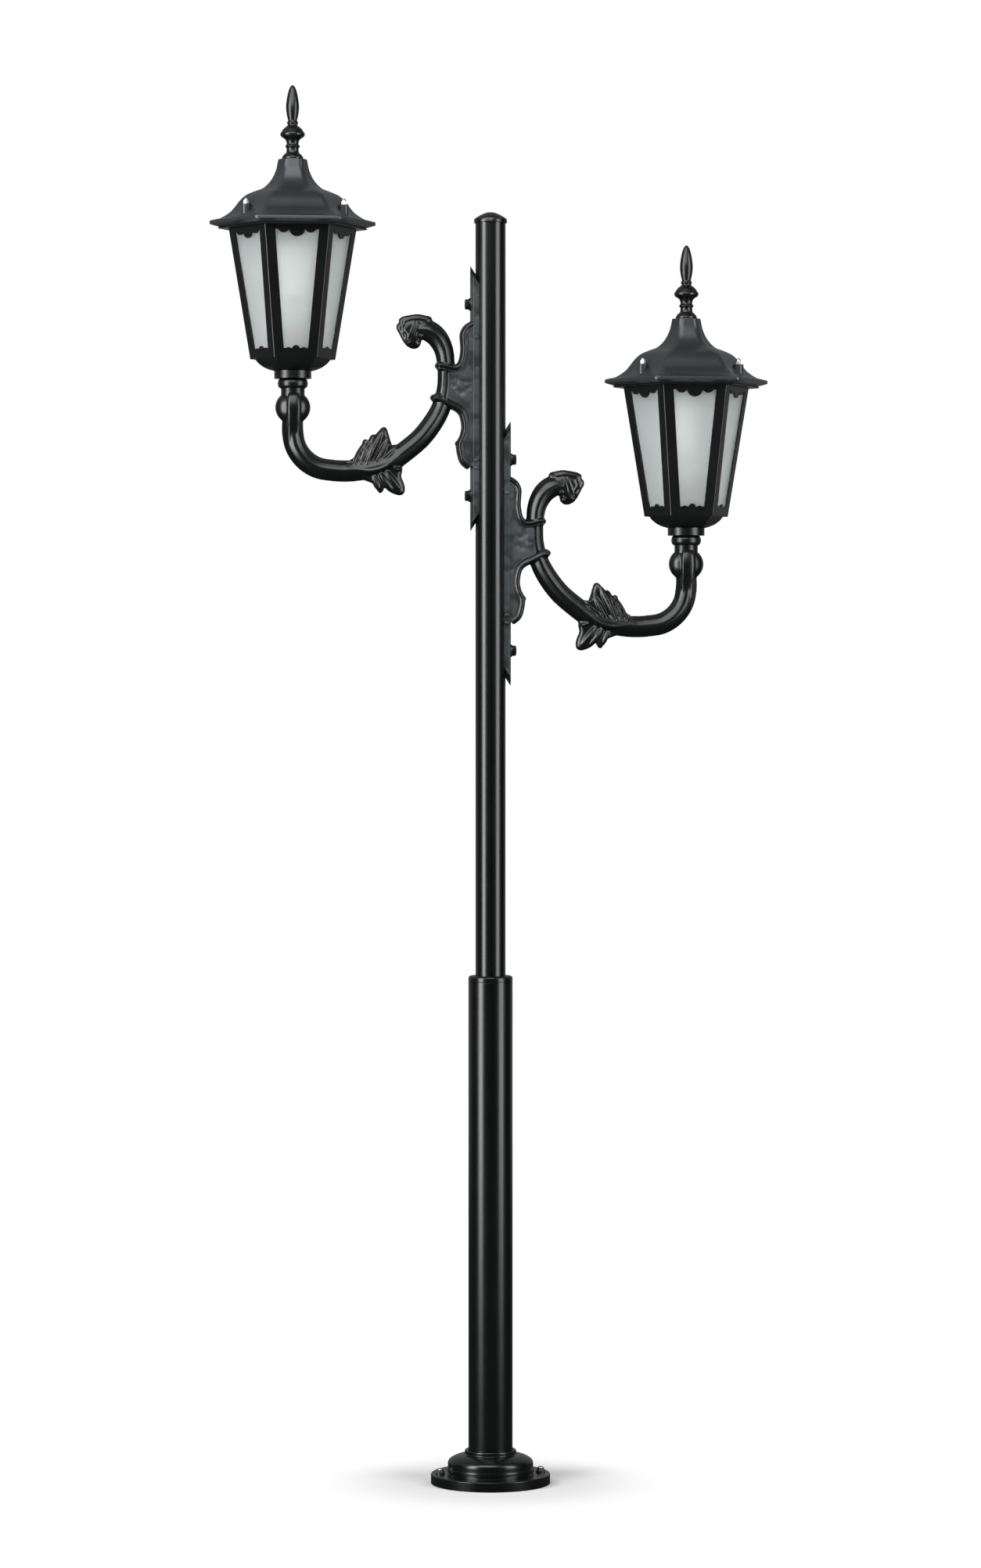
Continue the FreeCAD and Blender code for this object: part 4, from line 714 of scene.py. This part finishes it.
def ball(mesh, centre, half, steps=KNOB_STEPS):
    """A ball with its own half size on each axis."""
    made = bmesh.ops.create_uvsphere(mesh, u_segments=steps, v_segments=steps // 2, radius=1.0)
    bmesh.ops.scale(mesh, vec=half, verts=made["verts"])
    bmesh.ops.translate(mesh, vec=centre, verts=made["verts"])


def lobe(mesh, root, tip, half_width, half_depth, bow):
    """A leaf's fold: a ball drawn from root to tip, blunt at both ends and softly grooved."""
    veins = bpy.context.scene.post_sizes.vein_depth
    made = bmesh.ops.create_uvsphere(mesh, u_segments=PEG_STEPS, v_segments=KNOB_STEPS, radius=1.0)
    along = tip - root
    across = along.cross(BACK).normalized()
    for vert in made["verts"]:
        side, depth, height = vert.co
        girth = max(math.hypot(side, depth), LOBE_LEAST_GIRTH)
        share = (height + 1) / 2
        swell = 0.5 + 0.5 * math.sin(math.pi / 2 * min(1.0, share / LOBE_WIDEST))
        fall = max(0.0, (share - LOBE_WIDEST) / (1 - LOBE_WIDEST))
        outline = swell * math.sqrt(max(0.0, 1 - fall ** LOBE_TAPER))
        place_across = side / girth
        groove = 1 - veins * (0.5 - 0.5 * math.cos(FULL_TURN * place_across))
        rise = math.copysign((abs(depth) / girth) ** LOBE_PLUMPNESS, depth)
        place = root + along * share + across * (place_across * half_width * outline)
        place += across * (bow * math.sin(math.pi * share))
        thin = 1 - LOBE_THINNING * share
        vert.co = place + BACK * (rise * half_depth * thin * outline ** 0.5 * groove)


def cushion(mesh, outline, half_depth):
    """A plump form with a smooth outline in the arm's plane."""
    line = smooth_line([outline[-1], *outline, outline[0], outline[1]], 4)[4:-4]
    centre = sum(line, Vector()) / len(line)
    section = [((place - centre).x, (place - centre).z) for place in line[:-1]]
    stations = []
    for depth, size in CUSHION_SHARES:
        matrix = Matrix.Translation(centre + BACK * depth * half_depth)
        matrix.col[0], matrix.col[1], matrix.col[2] = (size, 0, 0, 0), (0, 0, size, 0), (0, 1, 0, 0)
        stations.append(matrix)
    sweep(mesh, section, stations)


def copy_of(node):
    """A bmesh copy of a CAD node with its triangles merged into clean faces."""
    source = frame["nodes"][node].data.copy()
    for name in ("custom_normal", "sharp_edge", "sharp_face"):
        if name in source.attributes:
            source.attributes.remove(source.attributes[name])
    mesh = bmesh.new()
    mesh.from_mesh(source)
    bpy.data.meshes.remove(source)
    bmesh.ops.remove_doubles(mesh, verts=mesh.verts, dist=MERGE)
    bmesh.ops.dissolve_limit(mesh, angle_limit=FLAT_ANGLE, verts=mesh.verts, edges=mesh.edges)
    return mesh


def sharp_edges(mesh, angle=SHARP_ANGLE):
    """The edges of a bmesh where two faces meet at more than an angle."""
    return [edge for edge in mesh.edges if edge.is_manifold and edge.calc_face_angle(0) > angle]


def round_edges(mesh, edges, radius, segments=2):
    """Round some edges of a bmesh."""
    bmesh.ops.bevel(mesh, geom=edges, offset=radius, segments=segments, profile=0.5, affect="EDGES",
                    material=-1, clamp_overlap=True)


def place_piece(mesh, name, node, at=None, slot=None, smooth=SHARP_ANGLE):
    """Turn a bmesh into a piece that rides with a CAD node's body and stands for the node."""
    if at:
        bmesh.ops.transform(mesh, matrix=at, verts=mesh.verts)
    data = mesh_data(mesh, name)
    data.shade_smooth()
    data.set_sharp_from_angle(angle=smooth)
    data.materials.append(finish_called(slot or slot_of(node)))
    piece = in_scene(name, data)
    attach(piece, body_of(node))
    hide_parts(node)
    return piece


def weighted(piece):
    """Let large faces set the shading of a piece's rounded edges."""
    modifier = piece.modifiers.new("Weighted normals", "WEIGHTED_NORMAL")
    modifier.keep_sharp = True
    return piece


def dressed(node, radius=None, segments=2):
    """A rounded, smooth-shaded copy of a CAD node."""
    mesh = copy_of(node)
    radius = radius or bpy.context.scene.post_sizes.edge_rounding
    round_edges(mesh, sharp_edges(mesh), radius, segments)
    return weighted(place_piece(mesh, node + "_dressed", node))


def painted(*nodes):
    """Give CAD nodes that keep their own shape the finishes of their slots."""
    for node in nodes:
        data = frame["nodes"][node].data
        data.materials.clear()
        data.materials.append(finish_called(slot_of(node)))


def lantern_place(side, height):
    """The matrix that stands a piece on a lantern's axis at a height."""
    low, high = COLLARS[side]
    return Matrix.Translation(((low.x + high.x) / 2, 0, height))


def arm_place(side):
    """The matrix from an arm's own frame, reaching along X, to the row's frame."""
    turn = math.pi if side == "left" else 0.0
    return Matrix.Translation((0, 0, PLATE_HEIGHT[side])) @ Matrix.Rotation(turn, 4, "Z")


def arm_bar_mesh():
    """Bar, knuckle, strap, leaves, bud and ribs of one arm, melted into one casting."""
    mesh = bmesh.new()
    line = smooth_line([(share * REACH, rise * ARM_DROP, size) for share, rise, size in ARM_SHARES], 5)
    sizes = [(ARM_HALF_THICKNESS * entry.z, ARM_HALF_BREADTH * entry.z) for entry in line]
    sweep(mesh, mirrored(ARM_SECTION), stations_along(line, sizes))
    face_outwards(mesh)
    round_edges(mesh, sharp_edges(mesh, LONG_EDGE_ANGLE), bpy.context.scene.post_sizes.cast_rounding)
    add_strap(mesh)
    ball(mesh, Vector((REACH, 0, KNUCKLE_DROP)), KNUCKLE_HALF, KNUCKLE_STEPS)
    add_leaves(mesh)
    add_bud(mesh)
    add_ribs(mesh)
    face_outwards(mesh)
    return cast(mesh)


def add_strap(mesh):
    """The strap that runs up over the knuckle."""
    strap = smooth_line(STRAP_MM, LINE_CUTS)
    section = mirrored(STRAP_SECTION + [(-across, depth) for across, depth in STRAP_SECTION[-2::-1]])
    sizes = [(entry.y * MM, entry.z * MM) for entry in strap]
    sweep(mesh, section, stations_along([(REACH, entry.x * MM) for entry in strap], sizes))


def add_leaves(mesh):
    """The two leaf clusters, the folds on them and the stem that carries them."""
    for outline, half_depth in zip((UPPER_LEAF_SHARES, LOWER_LEAF_SHARES), LEAF_HALF_DEPTHS):
        cushion(mesh, [point(*pair) for pair in outline], half_depth)
    for root, tip, *sizes in LEAF_RIDGES:
        lobe(mesh, point(*root), point(*tip), *[size * MM for size in sizes])
    stem = smooth_line(STEM_SHARES, LINE_CUTS)
    (width, depth), (least, swell) = STEM_HALF, STEM_DEPTH_SHARES
    line = [(entry.x * REACH, entry.y * ARM_DROP) for entry in stem]
    sizes = [(width * entry.z, depth * (least + swell * entry.z)) for entry in stem]
    sweep(mesh, plump_section(STEM_CORNERS), stations_along(line, sizes))


def add_bud(mesh):
    """The folded bud at the scroll's end."""
    outline = [Vector((across, 0, up)) * MM for across, up in BUD_OUTLINE_MM]
    middle = Vector((BUD_MIDDLE_MM[0], 0, BUD_MIDDLE_MM[1])) * MM
    cushion(mesh, outline, BUD_HALF_DEPTHS[0])
    cushion(mesh, [middle + (place - middle) * BUD_STEP_SHARE for place in outline], BUD_HALF_DEPTHS[1])
    for (across, up), radius in BUD_KNOBS_MM:
        for side in (-1, 1):
            centre = Vector((across * MM, side * BUD_KNOB_DEPTH, up * MM))
            ball(mesh, centre, Vector((radius, radius, radius)) * MM)
    for *ends, half_width, half_depth, bow in BUD_FOLDS_MM:
        root, tip = (Vector((across, 0, up)) * MM for across, up in ends)
        lobe(mesh, root, tip, half_width * MM, half_depth * MM, bow * MM)


def neck_mesh():
    """Neck, ring and spigot above the knuckle."""
    mesh = turned(NECK_MM[:3] + smooth_pairs(NECK_MM[3:11], 3) + NECK_MM[11:], TURNED_STEPS)
    bmesh.ops.translate(mesh, vec=(REACH, 0, 0), verts=mesh.verts)
    return mesh


def rib_stations(shares, flip):
    """Stations of a rib, which is deepest where it wraps the arm."""
    line = smooth_line([(share * REACH, rise * ARM_DROP, 0) for share, rise in shares], LINE_CUTS)
    sizes = []
    for index in range(len(line)):
        ease = min(1.0, index / (len(line) - 1) / RIB_EASING)
        width, depth = (first + (last - first) * ease * ease * (3 - 2 * ease)
                        for first, last in (RIB_HALF_WIDTHS, RIB_HALF_DEPTHS))
        sizes.append((flip * width, depth))
    return stations_along(line, sizes)


def saddle_mesh():
    """The curved plate that clasps the tube, with pointed, slanting ends."""
    mesh = bmesh.new()
    outline = []
    for level in (1, -1):
        for side in (-level, level):
            shares = OGEE_SHARES[::-1] if side == -level else OGEE_SHARES[1:]
            for share, drop in shares:
                height = level * (SADDLE_HALF_HEIGHT - drop * SADDLE_TIP_DROP)
                outline.append(Vector((0, side * share * SADDLE_HALF_WIDTH, height)))
    outline_face(mesh, outline)
    for step in range(1, SADDLE_STRIPS):
        cut(mesh, (0, (2 * step / SADDLE_STRIPS - 1) * SADDLE_HALF_WIDTH, 0), BACK)
    inner = UPPER_RADIUS + SADDLE_GAP
    outer = inner + SADDLE_WALL
    raised = set(verts_in(bmesh.ops.extrude_face_region(mesh, geom=mesh.faces[:])["geom"]))
    for vert in mesh.verts:
        radius = outer if vert in raised else inner
        vert.co.x = math.sqrt(radius ** 2 - vert.co.y ** 2)
        if vert not in raised:
            vert.co.z -= math.copysign(SADDLE_TIP_SLANT, vert.co.z)
    face_outwards(mesh)
    round_edges(mesh, sharp_edges(mesh), SADDLE_ROUNDING)
    return mesh


def web_mesh():
    """The plate between the two ribs, the arm and the saddle, with cast dents in its faces."""
    upper, lower = (smooth_pairs(shares[1:], 3) for shares in (UPPER_RIB_SHARES, LOWER_RIB_SHARES))
    edge = (UPPER_RADIUS + SADDLE_GAP + SADDLE_WALL / 2) / REACH
    outline = upper + [(edge, upper[-1][1]), (edge, lower[-1][1])] + lower[::-1] + WEB_ARM_SHARES
    mesh = bmesh.new()
    outline_face(mesh, [point(*pair) - BACK * WEB_HALF_THICKNESS for pair in outline])
    for axis in (Vector((1, 0, 0)), UP):
        for step in range(-WEB_CUTS, WEB_CUTS):
            cut(mesh, axis * (step + 0.5) * WEB_GRID, axis)
    made = bmesh.ops.extrude_face_region(mesh, geom=mesh.faces[:])["geom"]
    bmesh.ops.translate(mesh, vec=BACK * 2 * WEB_HALF_THICKNESS, verts=verts_in(made))
    for vert in mesh.verts:
        for across, up, half_across, half_up in WEB_DENTS_MM:
            away = math.hypot((vert.co.x / MM - across) / half_across, (vert.co.z / MM - up) / half_up)
            vert.co.y -= math.copysign(WEB_DENT_DEPTH * math.exp(-away ** 2), vert.co.y)
    face_outwards(mesh)
    return mesh


def bracket_mesh():
    """The saddle's plate with its beads and the seats of the two washers."""
    mesh = saddle_mesh()
    for across, height in BEADS_MM:
        for side in (-1, 1):
            ball(mesh, Vector((across * MM, side * BEAD_SPREAD, height * MM)), BEAD_HALF)
    outer = UPPER_RADIUS + SADDLE_GAP + SADDLE_WALL
    for rise in BOLT_RISES:
        place = Matrix.Translation((outer - PAD_RADIUS / 2 + PAD_PROUD, 0, rise))
        bmesh.ops.create_cone(mesh, cap_ends=True, segments=PEG_STEPS, radius1=PAD_RADIUS,
                              radius2=PAD_RADIUS, depth=PAD_RADIUS,
                              matrix=place @ Matrix.Rotation(math.pi / 2, 4, "Y"))
    face_outwards(mesh)
    return mesh


def add_ribs(mesh):
    """The two ribs that wrap the arm and run down the saddle, with their knobs and the beak."""
    for shares, flip in ((UPPER_RIB_SHARES, 1), (LOWER_RIB_SHARES, -1)):
        sweep(mesh, mirrored(RIB_SECTION), rib_stations(shares, flip))
        ball(mesh, point(*shares[0]), RIB_KNOB)
    ball(mesh, point(*RIB_BEAK[0]), RIB_BEAK[1])


def cast(mesh):
    """Melt the forms of a bmesh into one casting with soft corners between them."""
    data = mesh_data(mesh, "pattern")
    pattern = in_scene("pattern", data)
    modifier = pattern.modifiers.new("Casting", "REMESH")
    modifier.mode, modifier.voxel_size, modifier.adaptivity = "VOXEL", CASTING_GRAIN, 0.0
    poured = bpy.data.meshes.new_from_object(pattern.evaluated_get(bpy.context.evaluated_depsgraph_get()))
    bpy.data.objects.remove(pattern)
    casting = bmesh.new()
    casting.from_mesh(poured)
    for used in (data, poured):
        bpy.data.meshes.remove(used)
    for _ in range(CASTING_SOFTENING):
        bmesh.ops.smooth_vert(casting, verts=casting.verts, factor=0.5, use_axis_x=True, use_axis_y=True,
                              use_axis_z=True)
    return casting


class LAMP_OT_post(bpy.types.Operator):
    """Round and paint the tubes, the rings and the foot"""

    bl_idname = "lamp.post"
    bl_label = "Tubes and Foot"

    def execute(self, context):
        for node in ("lower_tube", "upper_tube", "reducer_ring"):
            dressed(node)
        dressed("base_flange", context.scene.post_sizes.cast_rounding, 4)
        painted("spacer_ring", "anchor_washers", "cover_grub_screws")
        dressed("anchor_nuts", NUT_ROUNDING)
        cover = turned(closed(smooth_pairs(COVER_OUTSIDE_MM, 3) + COVER_INSIDE_MM))
        place_piece(cover, "base_cover_turned", "base_cover", Matrix.Translation((0, 0, FOOT_TOP)))
        cap = turned(CAP_MM[:9] + smooth_pairs(CAP_MM[9:], 4))
        place_piece(cap, "post_cap_turned", "post_cap", Matrix.Translation((0, 0, POST_TOP)))
        return {"FINISHED"}


class LAMP_OT_arms(bpy.types.Operator):
    """Model the cast arms with their leaves, buds, ribs and saddles"""

    bl_idname = "lamp.arms"
    bl_label = "Arms"

    def execute(self, context):
        casting = arm_bar_mesh()
        for side in SIDES:
            node, at = side + "_arm", arm_place(side)
            place_piece(casting.copy(), node + "_casting", node, at, smooth=math.pi)
            place_piece(neck_mesh(), node + "_neck", node, at)
            weighted(place_piece(bracket_mesh(), node + "_bracket", node, at, "cast_web"))
            place_piece(web_mesh(), node + "_web", node, at, "cast_web")
            dressed(side + "_bracket_bolts", BOLT_ROUNDING)
            painted(side + "_bracket_washers", side + "_tube_inserts", side + "_cable_grommet")
        return {"FINISHED"}


class LAMP_OT_bowls(bpy.types.Operator):
    """Model the collars and the bowls under the lanterns"""

    bl_idname = "lamp.bowls"
    bl_label = "Collars and Bowls"

    def execute(self, context):
        for side in SIDES:
            dressed(side + "_fitter_collar")
            bowl = turned(closed(BOWL_MM), HEX_SIDES)
            round_edges(bowl, corners_of(bowl, SHARP_ANGLE), BOWL_ROUNDING)
            node = side + "_bowl"
            at = lantern_place(side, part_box(node)[0].z)
            weighted(place_piece(bowl, node + "_faceted", node, at, "cast_bowl"))
            painted(side + "_collar_screws", side + "_stem_nut", side + "_bowl_screws")
        return {"FINISHED"}


def is_ridge(edge):
    """Whether an edge of a hexagonal piece runs up or down along one of its corners."""
    first, last = (vert.co for vert in edge.verts)
    angles = [math.atan2(place.y, place.x) / (FULL_TURN / HEX_SIDES) for place in (first, last)]
    on_corner = all(abs(angle - round(angle)) < CORNER_TOLERANCE for angle in angles)
    return on_corner and abs(angles[0] - angles[1]) < CORNER_TWIST


def corners_of(mesh, angle):
    """The edges along the corners of a hexagonal piece where its faces meet at more than an angle."""
    return [edge for edge in mesh.edges if is_ridge(edge) and edge.calc_face_angle(0) > angle]


class LAMP_OT_cages(bpy.types.Operator):
    """Round the lantern frames and paint their panes and clips"""

    bl_idname = "lamp.cages"
    bl_label = "Frames and Panes"

    def execute(self, context):
        sizes = context.scene.post_sizes
        for side in SIDES:
            node, place = side + "_frame", lantern_place(side, COLLARS[side][0].z)
            mesh = copy_of(node)
            bmesh.ops.transform(mesh, matrix=place.inverted(), verts=mesh.verts)
            corners = [edge for edge in corners_of(mesh, SHARP_ANGLE)
                       if edge.calc_length() > CORNER_LEAST_LENGTH]
            round_edges(mesh, corners, sizes.corner_rounding, 3)
            round_edges(mesh, sharp_edges(mesh), sizes.edge_rounding)
            weighted(place_piece(mesh, node + "_dressed", node, place))
            painted(side + "_glass_panes", side + "_pane_clips")
        return {"FINISHED"}


class LAMP_OT_roofs(bpy.types.Operator):
    """Model the bell roofs with their bosses, cap nuts and finials"""

    bl_idname = "lamp.roofs"
    bl_label = "Roofs and Finials"

    def execute(self, context):
        for side in SIDES:
            roof, tip = side + "_roof", side + "_finial"
            at = lantern_place(side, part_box(side + "_frame")[1].z + ROOF_RISE)
            weighted(place_piece(roof_mesh(), roof + "_shell", roof, at, smooth=ROOF_SHARP_ANGLE))
            outline = [(0.0, FINIAL_MM[0][1])] + FINIAL_MM[:3] + smooth_pairs(FINIAL_MM[3:], 4)
            finial = turned(outline, TURNED_STEPS)
            place_piece(finial, tip + "_turned", tip, lantern_place(side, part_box(roof)[1].z))
            dressed(roof + "_cap_nuts", NUT_ROUNDING)
            painted(roof + "_studs", tip + "_nut")
        return {"FINISHED"}


def roof_mesh():
    """A bell-shaped hexagonal shell with soft ridges and three bosses."""
    bell = smooth_pairs(ROOF_MM[2:], 4)
    inside = [(radius - ROOF_WALL_MM * ROOF_WALL_SLANT, height - ROOF_WALL_MM)
              for radius, height in bell[::4] if height > ROOF_INSIDE_FROM_MM]
    radius, top = ROOF_MM[-1]
    platform = [(radius - ROOF_STEP_MM, top + ROOF_STEP_MM), (ROOF_HOLE_MM, top + ROOF_STEP_MM),
                (ROOF_HOLE_MM, top - ROOF_WALL_MM)]
    mesh = turned(closed(ROOF_LIP_MM + ROOF_MM[:2] + bell + platform + inside[::-1]), HEX_SIDES)
    ridges = [edge for edge in corners_of(mesh, RIDGE_ANGLE) if edge_faces_out(edge)
              and min(math.hypot(vert.co.x, vert.co.y) for vert in edge.verts) > RIDGE_LEAST_RADIUS]
    round_edges(mesh, ridges, bpy.context.scene.post_sizes.ridge_rounding, 5)
    for azimuth in BOSS_AZIMUTHS:
        boss = turned(closed(BOSS_MM), PEG_STEPS)
        place = Matrix.Rotation(math.radians(azimuth), 4, "Z") @ Matrix.Translation((BOSS_OFFSET, 0, 0))
        bmesh.ops.transform(boss, matrix=place, verts=boss.verts)
        data = mesh_data(boss, "boss")
        mesh.from_mesh(data)
        bpy.data.meshes.remove(data)
    return mesh


def edge_faces_out(edge):
    """Whether an edge of a shell about the upright axis is on its outer side."""
    middle = (edge.verts[0].co + edge.verts[1].co) / 2
    normal = edge.link_faces[0].normal + edge.link_faces[1].normal
    return normal.dot(Vector((middle.x, middle.y, 0))) > 0 or normal.z > 0.2


class LAMP_OT_bulbs(bpy.types.Operator):
    """Model the bulbs and paint what stands behind the panes"""

    bl_idname = "lamp.bulbs"
    bl_label = "Bulbs and Holders"

    def execute(self, context):
        for side in SIDES:
            dressed(side + "_lampholder")
            dressed(side + "_bulb_cap", BOLT_ROUNDING)
            node = side + "_bulb_globe"
            globe = turned(GLOBE_MM[:2] + smooth_pairs(GLOBE_MM[2:], 4), TURNED_STEPS)
            place_piece(globe, node + "_blown", node, lantern_place(side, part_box(node)[0].z))
            painted(side + "_lampholder_bracket", side + "_terminal_block")
        return {"FINISHED"}


# Lamps: name, azimuth and elevation in degrees from the camera's side, distance, width, height, power
SOFTBOXES = [
    ("key_left", -52, 8, 4.2, 1.6, 4.6, 250),
    ("key_right", 58, 8, 4.2, 1.9, 4.6, 160),
    ("ceiling", -12, 50, 3.8, 3.2, 2.6, 105),
]

# The floor's radius, and the distances from the post between which it turns white to the camera
FLOOR_RADIUS = 6.0
SHADOW_REACH = (0.15, 0.36)

# What mirror-like reflections show: the floor's grey, the room's shape as edges of shares of a
# direction's height or depth, and the strengths of the ceiling, the wall behind and the rest
FLOOR_MIRRORED = 0.05
CEILING_EDGES, OVERHEAD_EDGES, BEHIND_EDGES = (0.25, 0.6), (0.90, 0.97), (0.25, 0.65)
CEILING_LEVEL, CEILING_TILT, BEHIND_LEVEL, LEAST_LEVEL = 0.24, 0.20, 0.26, 0.012
WHITE = (1.0, 1.0, 1.0, 1.0)


def away_from(azimuth, elevation):
    """The direction at an azimuth from the front and an elevation, both in radians."""
    level = math.cos(elevation)
    return Vector((math.sin(azimuth) * level, -math.cos(azimuth) * level, math.sin(elevation)))


def aim(thing, place, target):
    """Put a lamp or camera at a place and point it at a target."""
    thing.location = place
    thing.rotation_euler = (place - target).to_track_quat("Z", "Y").to_euler()


class LAMP_OT_stage(bpy.types.Operator):
    """Set the camera, the pale floor, the soft lamps and the white room"""

    bl_idname = "lamp.stage"
    bl_label = "Stage"

    def execute(self, context):
        stage = context.scene.post_stage
        self.floor(stage)
        self.room(context, stage)
        middle = Vector((0, 0, stage.aim_height))
        for name, azimuth, elevation, distance, width, height, power in SOFTBOXES:
            data = bpy.data.lights.new(name, "AREA")
            data.shape, data.size, data.size_y, data.energy = "RECTANGLE", width, height, power
            away = away_from(math.radians(azimuth) + stage.camera_azimuth, math.radians(elevation))
            aim(in_scene(name, data), middle + away * distance, middle)
        place = away_from(stage.camera_azimuth, 0) * stage.camera_distance + UP * stage.camera_height
        data = bpy.data.cameras.new("camera")
        data.lens = data.sensor_width * (place - middle).length / stage.view_height
        data.clip_end = 100
        camera = in_scene("camera", data)
        aim(camera, place, middle)
        context.scene.camera = camera
        context.scene.view_settings.view_transform = "Standard"
        return {"FINISHED"}

    def floor(self, stage):
        """A pale floor that turns white to the camera outside the object's shadow."""
        mesh = bmesh.new()
        bmesh.ops.create_circle(mesh, cap_ends=True, segments=96, radius=FLOOR_RADIUS)
        material, nodes, places = finish("pale_floor")
        away = nodes.add("VectorMath", {0: places}, output=1, operation="LENGTH")
        seen = nodes.add("LightPath", output="Is Camera Ray")
        glossy = nodes.add("LightPath", output="Is Glossy Ray")
        pale = nodes.mixed(glossy, rgba((stage.floor_shade,) * 3), rgba((FLOOR_MIRRORED,) * 3))
        matt = nodes.add("BsdfDiffuse", {"Color": pale})
        white = nodes.add("Emission", {"Color": WHITE, "Strength": 1.0})
        shader = nodes.add("MixShader", {0: away.ramp(*SHADOW_REACH) * seen, 1: matt, 2: white})
        nodes.add("OutputMaterial", {"Surface": shader})
        data = mesh_data(mesh, "floor")
        data.materials.append(material)
        in_scene("floor", data)

    def room(self, context, stage):
        """A room that is white to the camera, soft on the object and shaped in reflections."""
        world = bpy.data.worlds.new("white_room")
        context.scene.world = world
        nodes = Nodes(world)
        seen, through, glossy = (nodes.add("LightPath", output=name) for name in (
            "Is Camera Ray", "Is Transmission Ray", "Is Glossy Ray"))
        seen = seen.larger(through)
        direction = nodes.add("TexCoord", output="Generated")
        across, depth, height = (
            nodes.add("SeparateXYZ", {0: direction}, output=axis) for axis in range(3))
        behind = depth.ramp(*BEHIND_EDGES)
        ceiling = height.ramp(*CEILING_EDGES) * (1 - behind) * (CEILING_LEVEL - across * CEILING_TILT)
        mirrored = (1 - height.ramp(*OVERHEAD_EDGES)) * (ceiling + behind * BEHIND_LEVEL) + LEAST_LEVEL
        level = glossy * mirrored + (1 - glossy) * stage.fill_level
        strength = seen + (1 - seen) * level
        background = nodes.add("Background", {"Color": WHITE, "Strength": strength})
        nodes.add("OutputWorld", {"Surface": background})


class LAMP_PT_panel(bpy.types.Panel):
    """Everything that dresses the lamp post"""

    bl_idname = "LAMP_PT_panel"
    bl_label = "Garden Lamp Post"
    bl_space_type = "VIEW_3D"
    bl_region_type = "UI"
    bl_category = "Lamp Post"

    def draw(self, context):
        column = self.layout.column()
        for operator in OPERATORS:
            column.operator(operator.bl_idname)
        for group in (context.scene.post_sizes, context.scene.post_colours, context.scene.post_stage):
            column.separator()
            for name in group.bl_rna.properties.keys():
                if name not in ("rna_type", "name"):
                    column.prop(group, name)


OPERATORS = (LAMP_OT_post, LAMP_OT_arms, LAMP_OT_bowls, LAMP_OT_cages, LAMP_OT_roofs, LAMP_OT_bulbs,
             LAMP_OT_stage)
GROUPS = {"post_sizes": PostSizes, "post_colours": PostColours, "post_stage": PostStage}


def register():
    for kind in (*GROUPS.values(), *OPERATORS, LAMP_PT_panel):
        bpy.utils.register_class(kind)
    for name, kind in GROUPS.items():
        setattr(bpy.types.Scene, name, PointerProperty(type=kind))


def unregister():
    for name in GROUPS:
        delattr(bpy.types.Scene, name)
    for kind in (LAMP_PT_panel, *OPERATORS, *GROUPS.values()):
        bpy.utils.unregister_class(kind)


def main():
    """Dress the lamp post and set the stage."""
    register()
    bpy.ops.lamp.post()
    bpy.ops.lamp.arms()
    bpy.ops.lamp.bowls()
    bpy.ops.lamp.cages()
    bpy.ops.lamp.roofs()
    bpy.ops.lamp.bulbs()
    bpy.ops.lamp.stage()


if __name__ == "__main__":
    main()
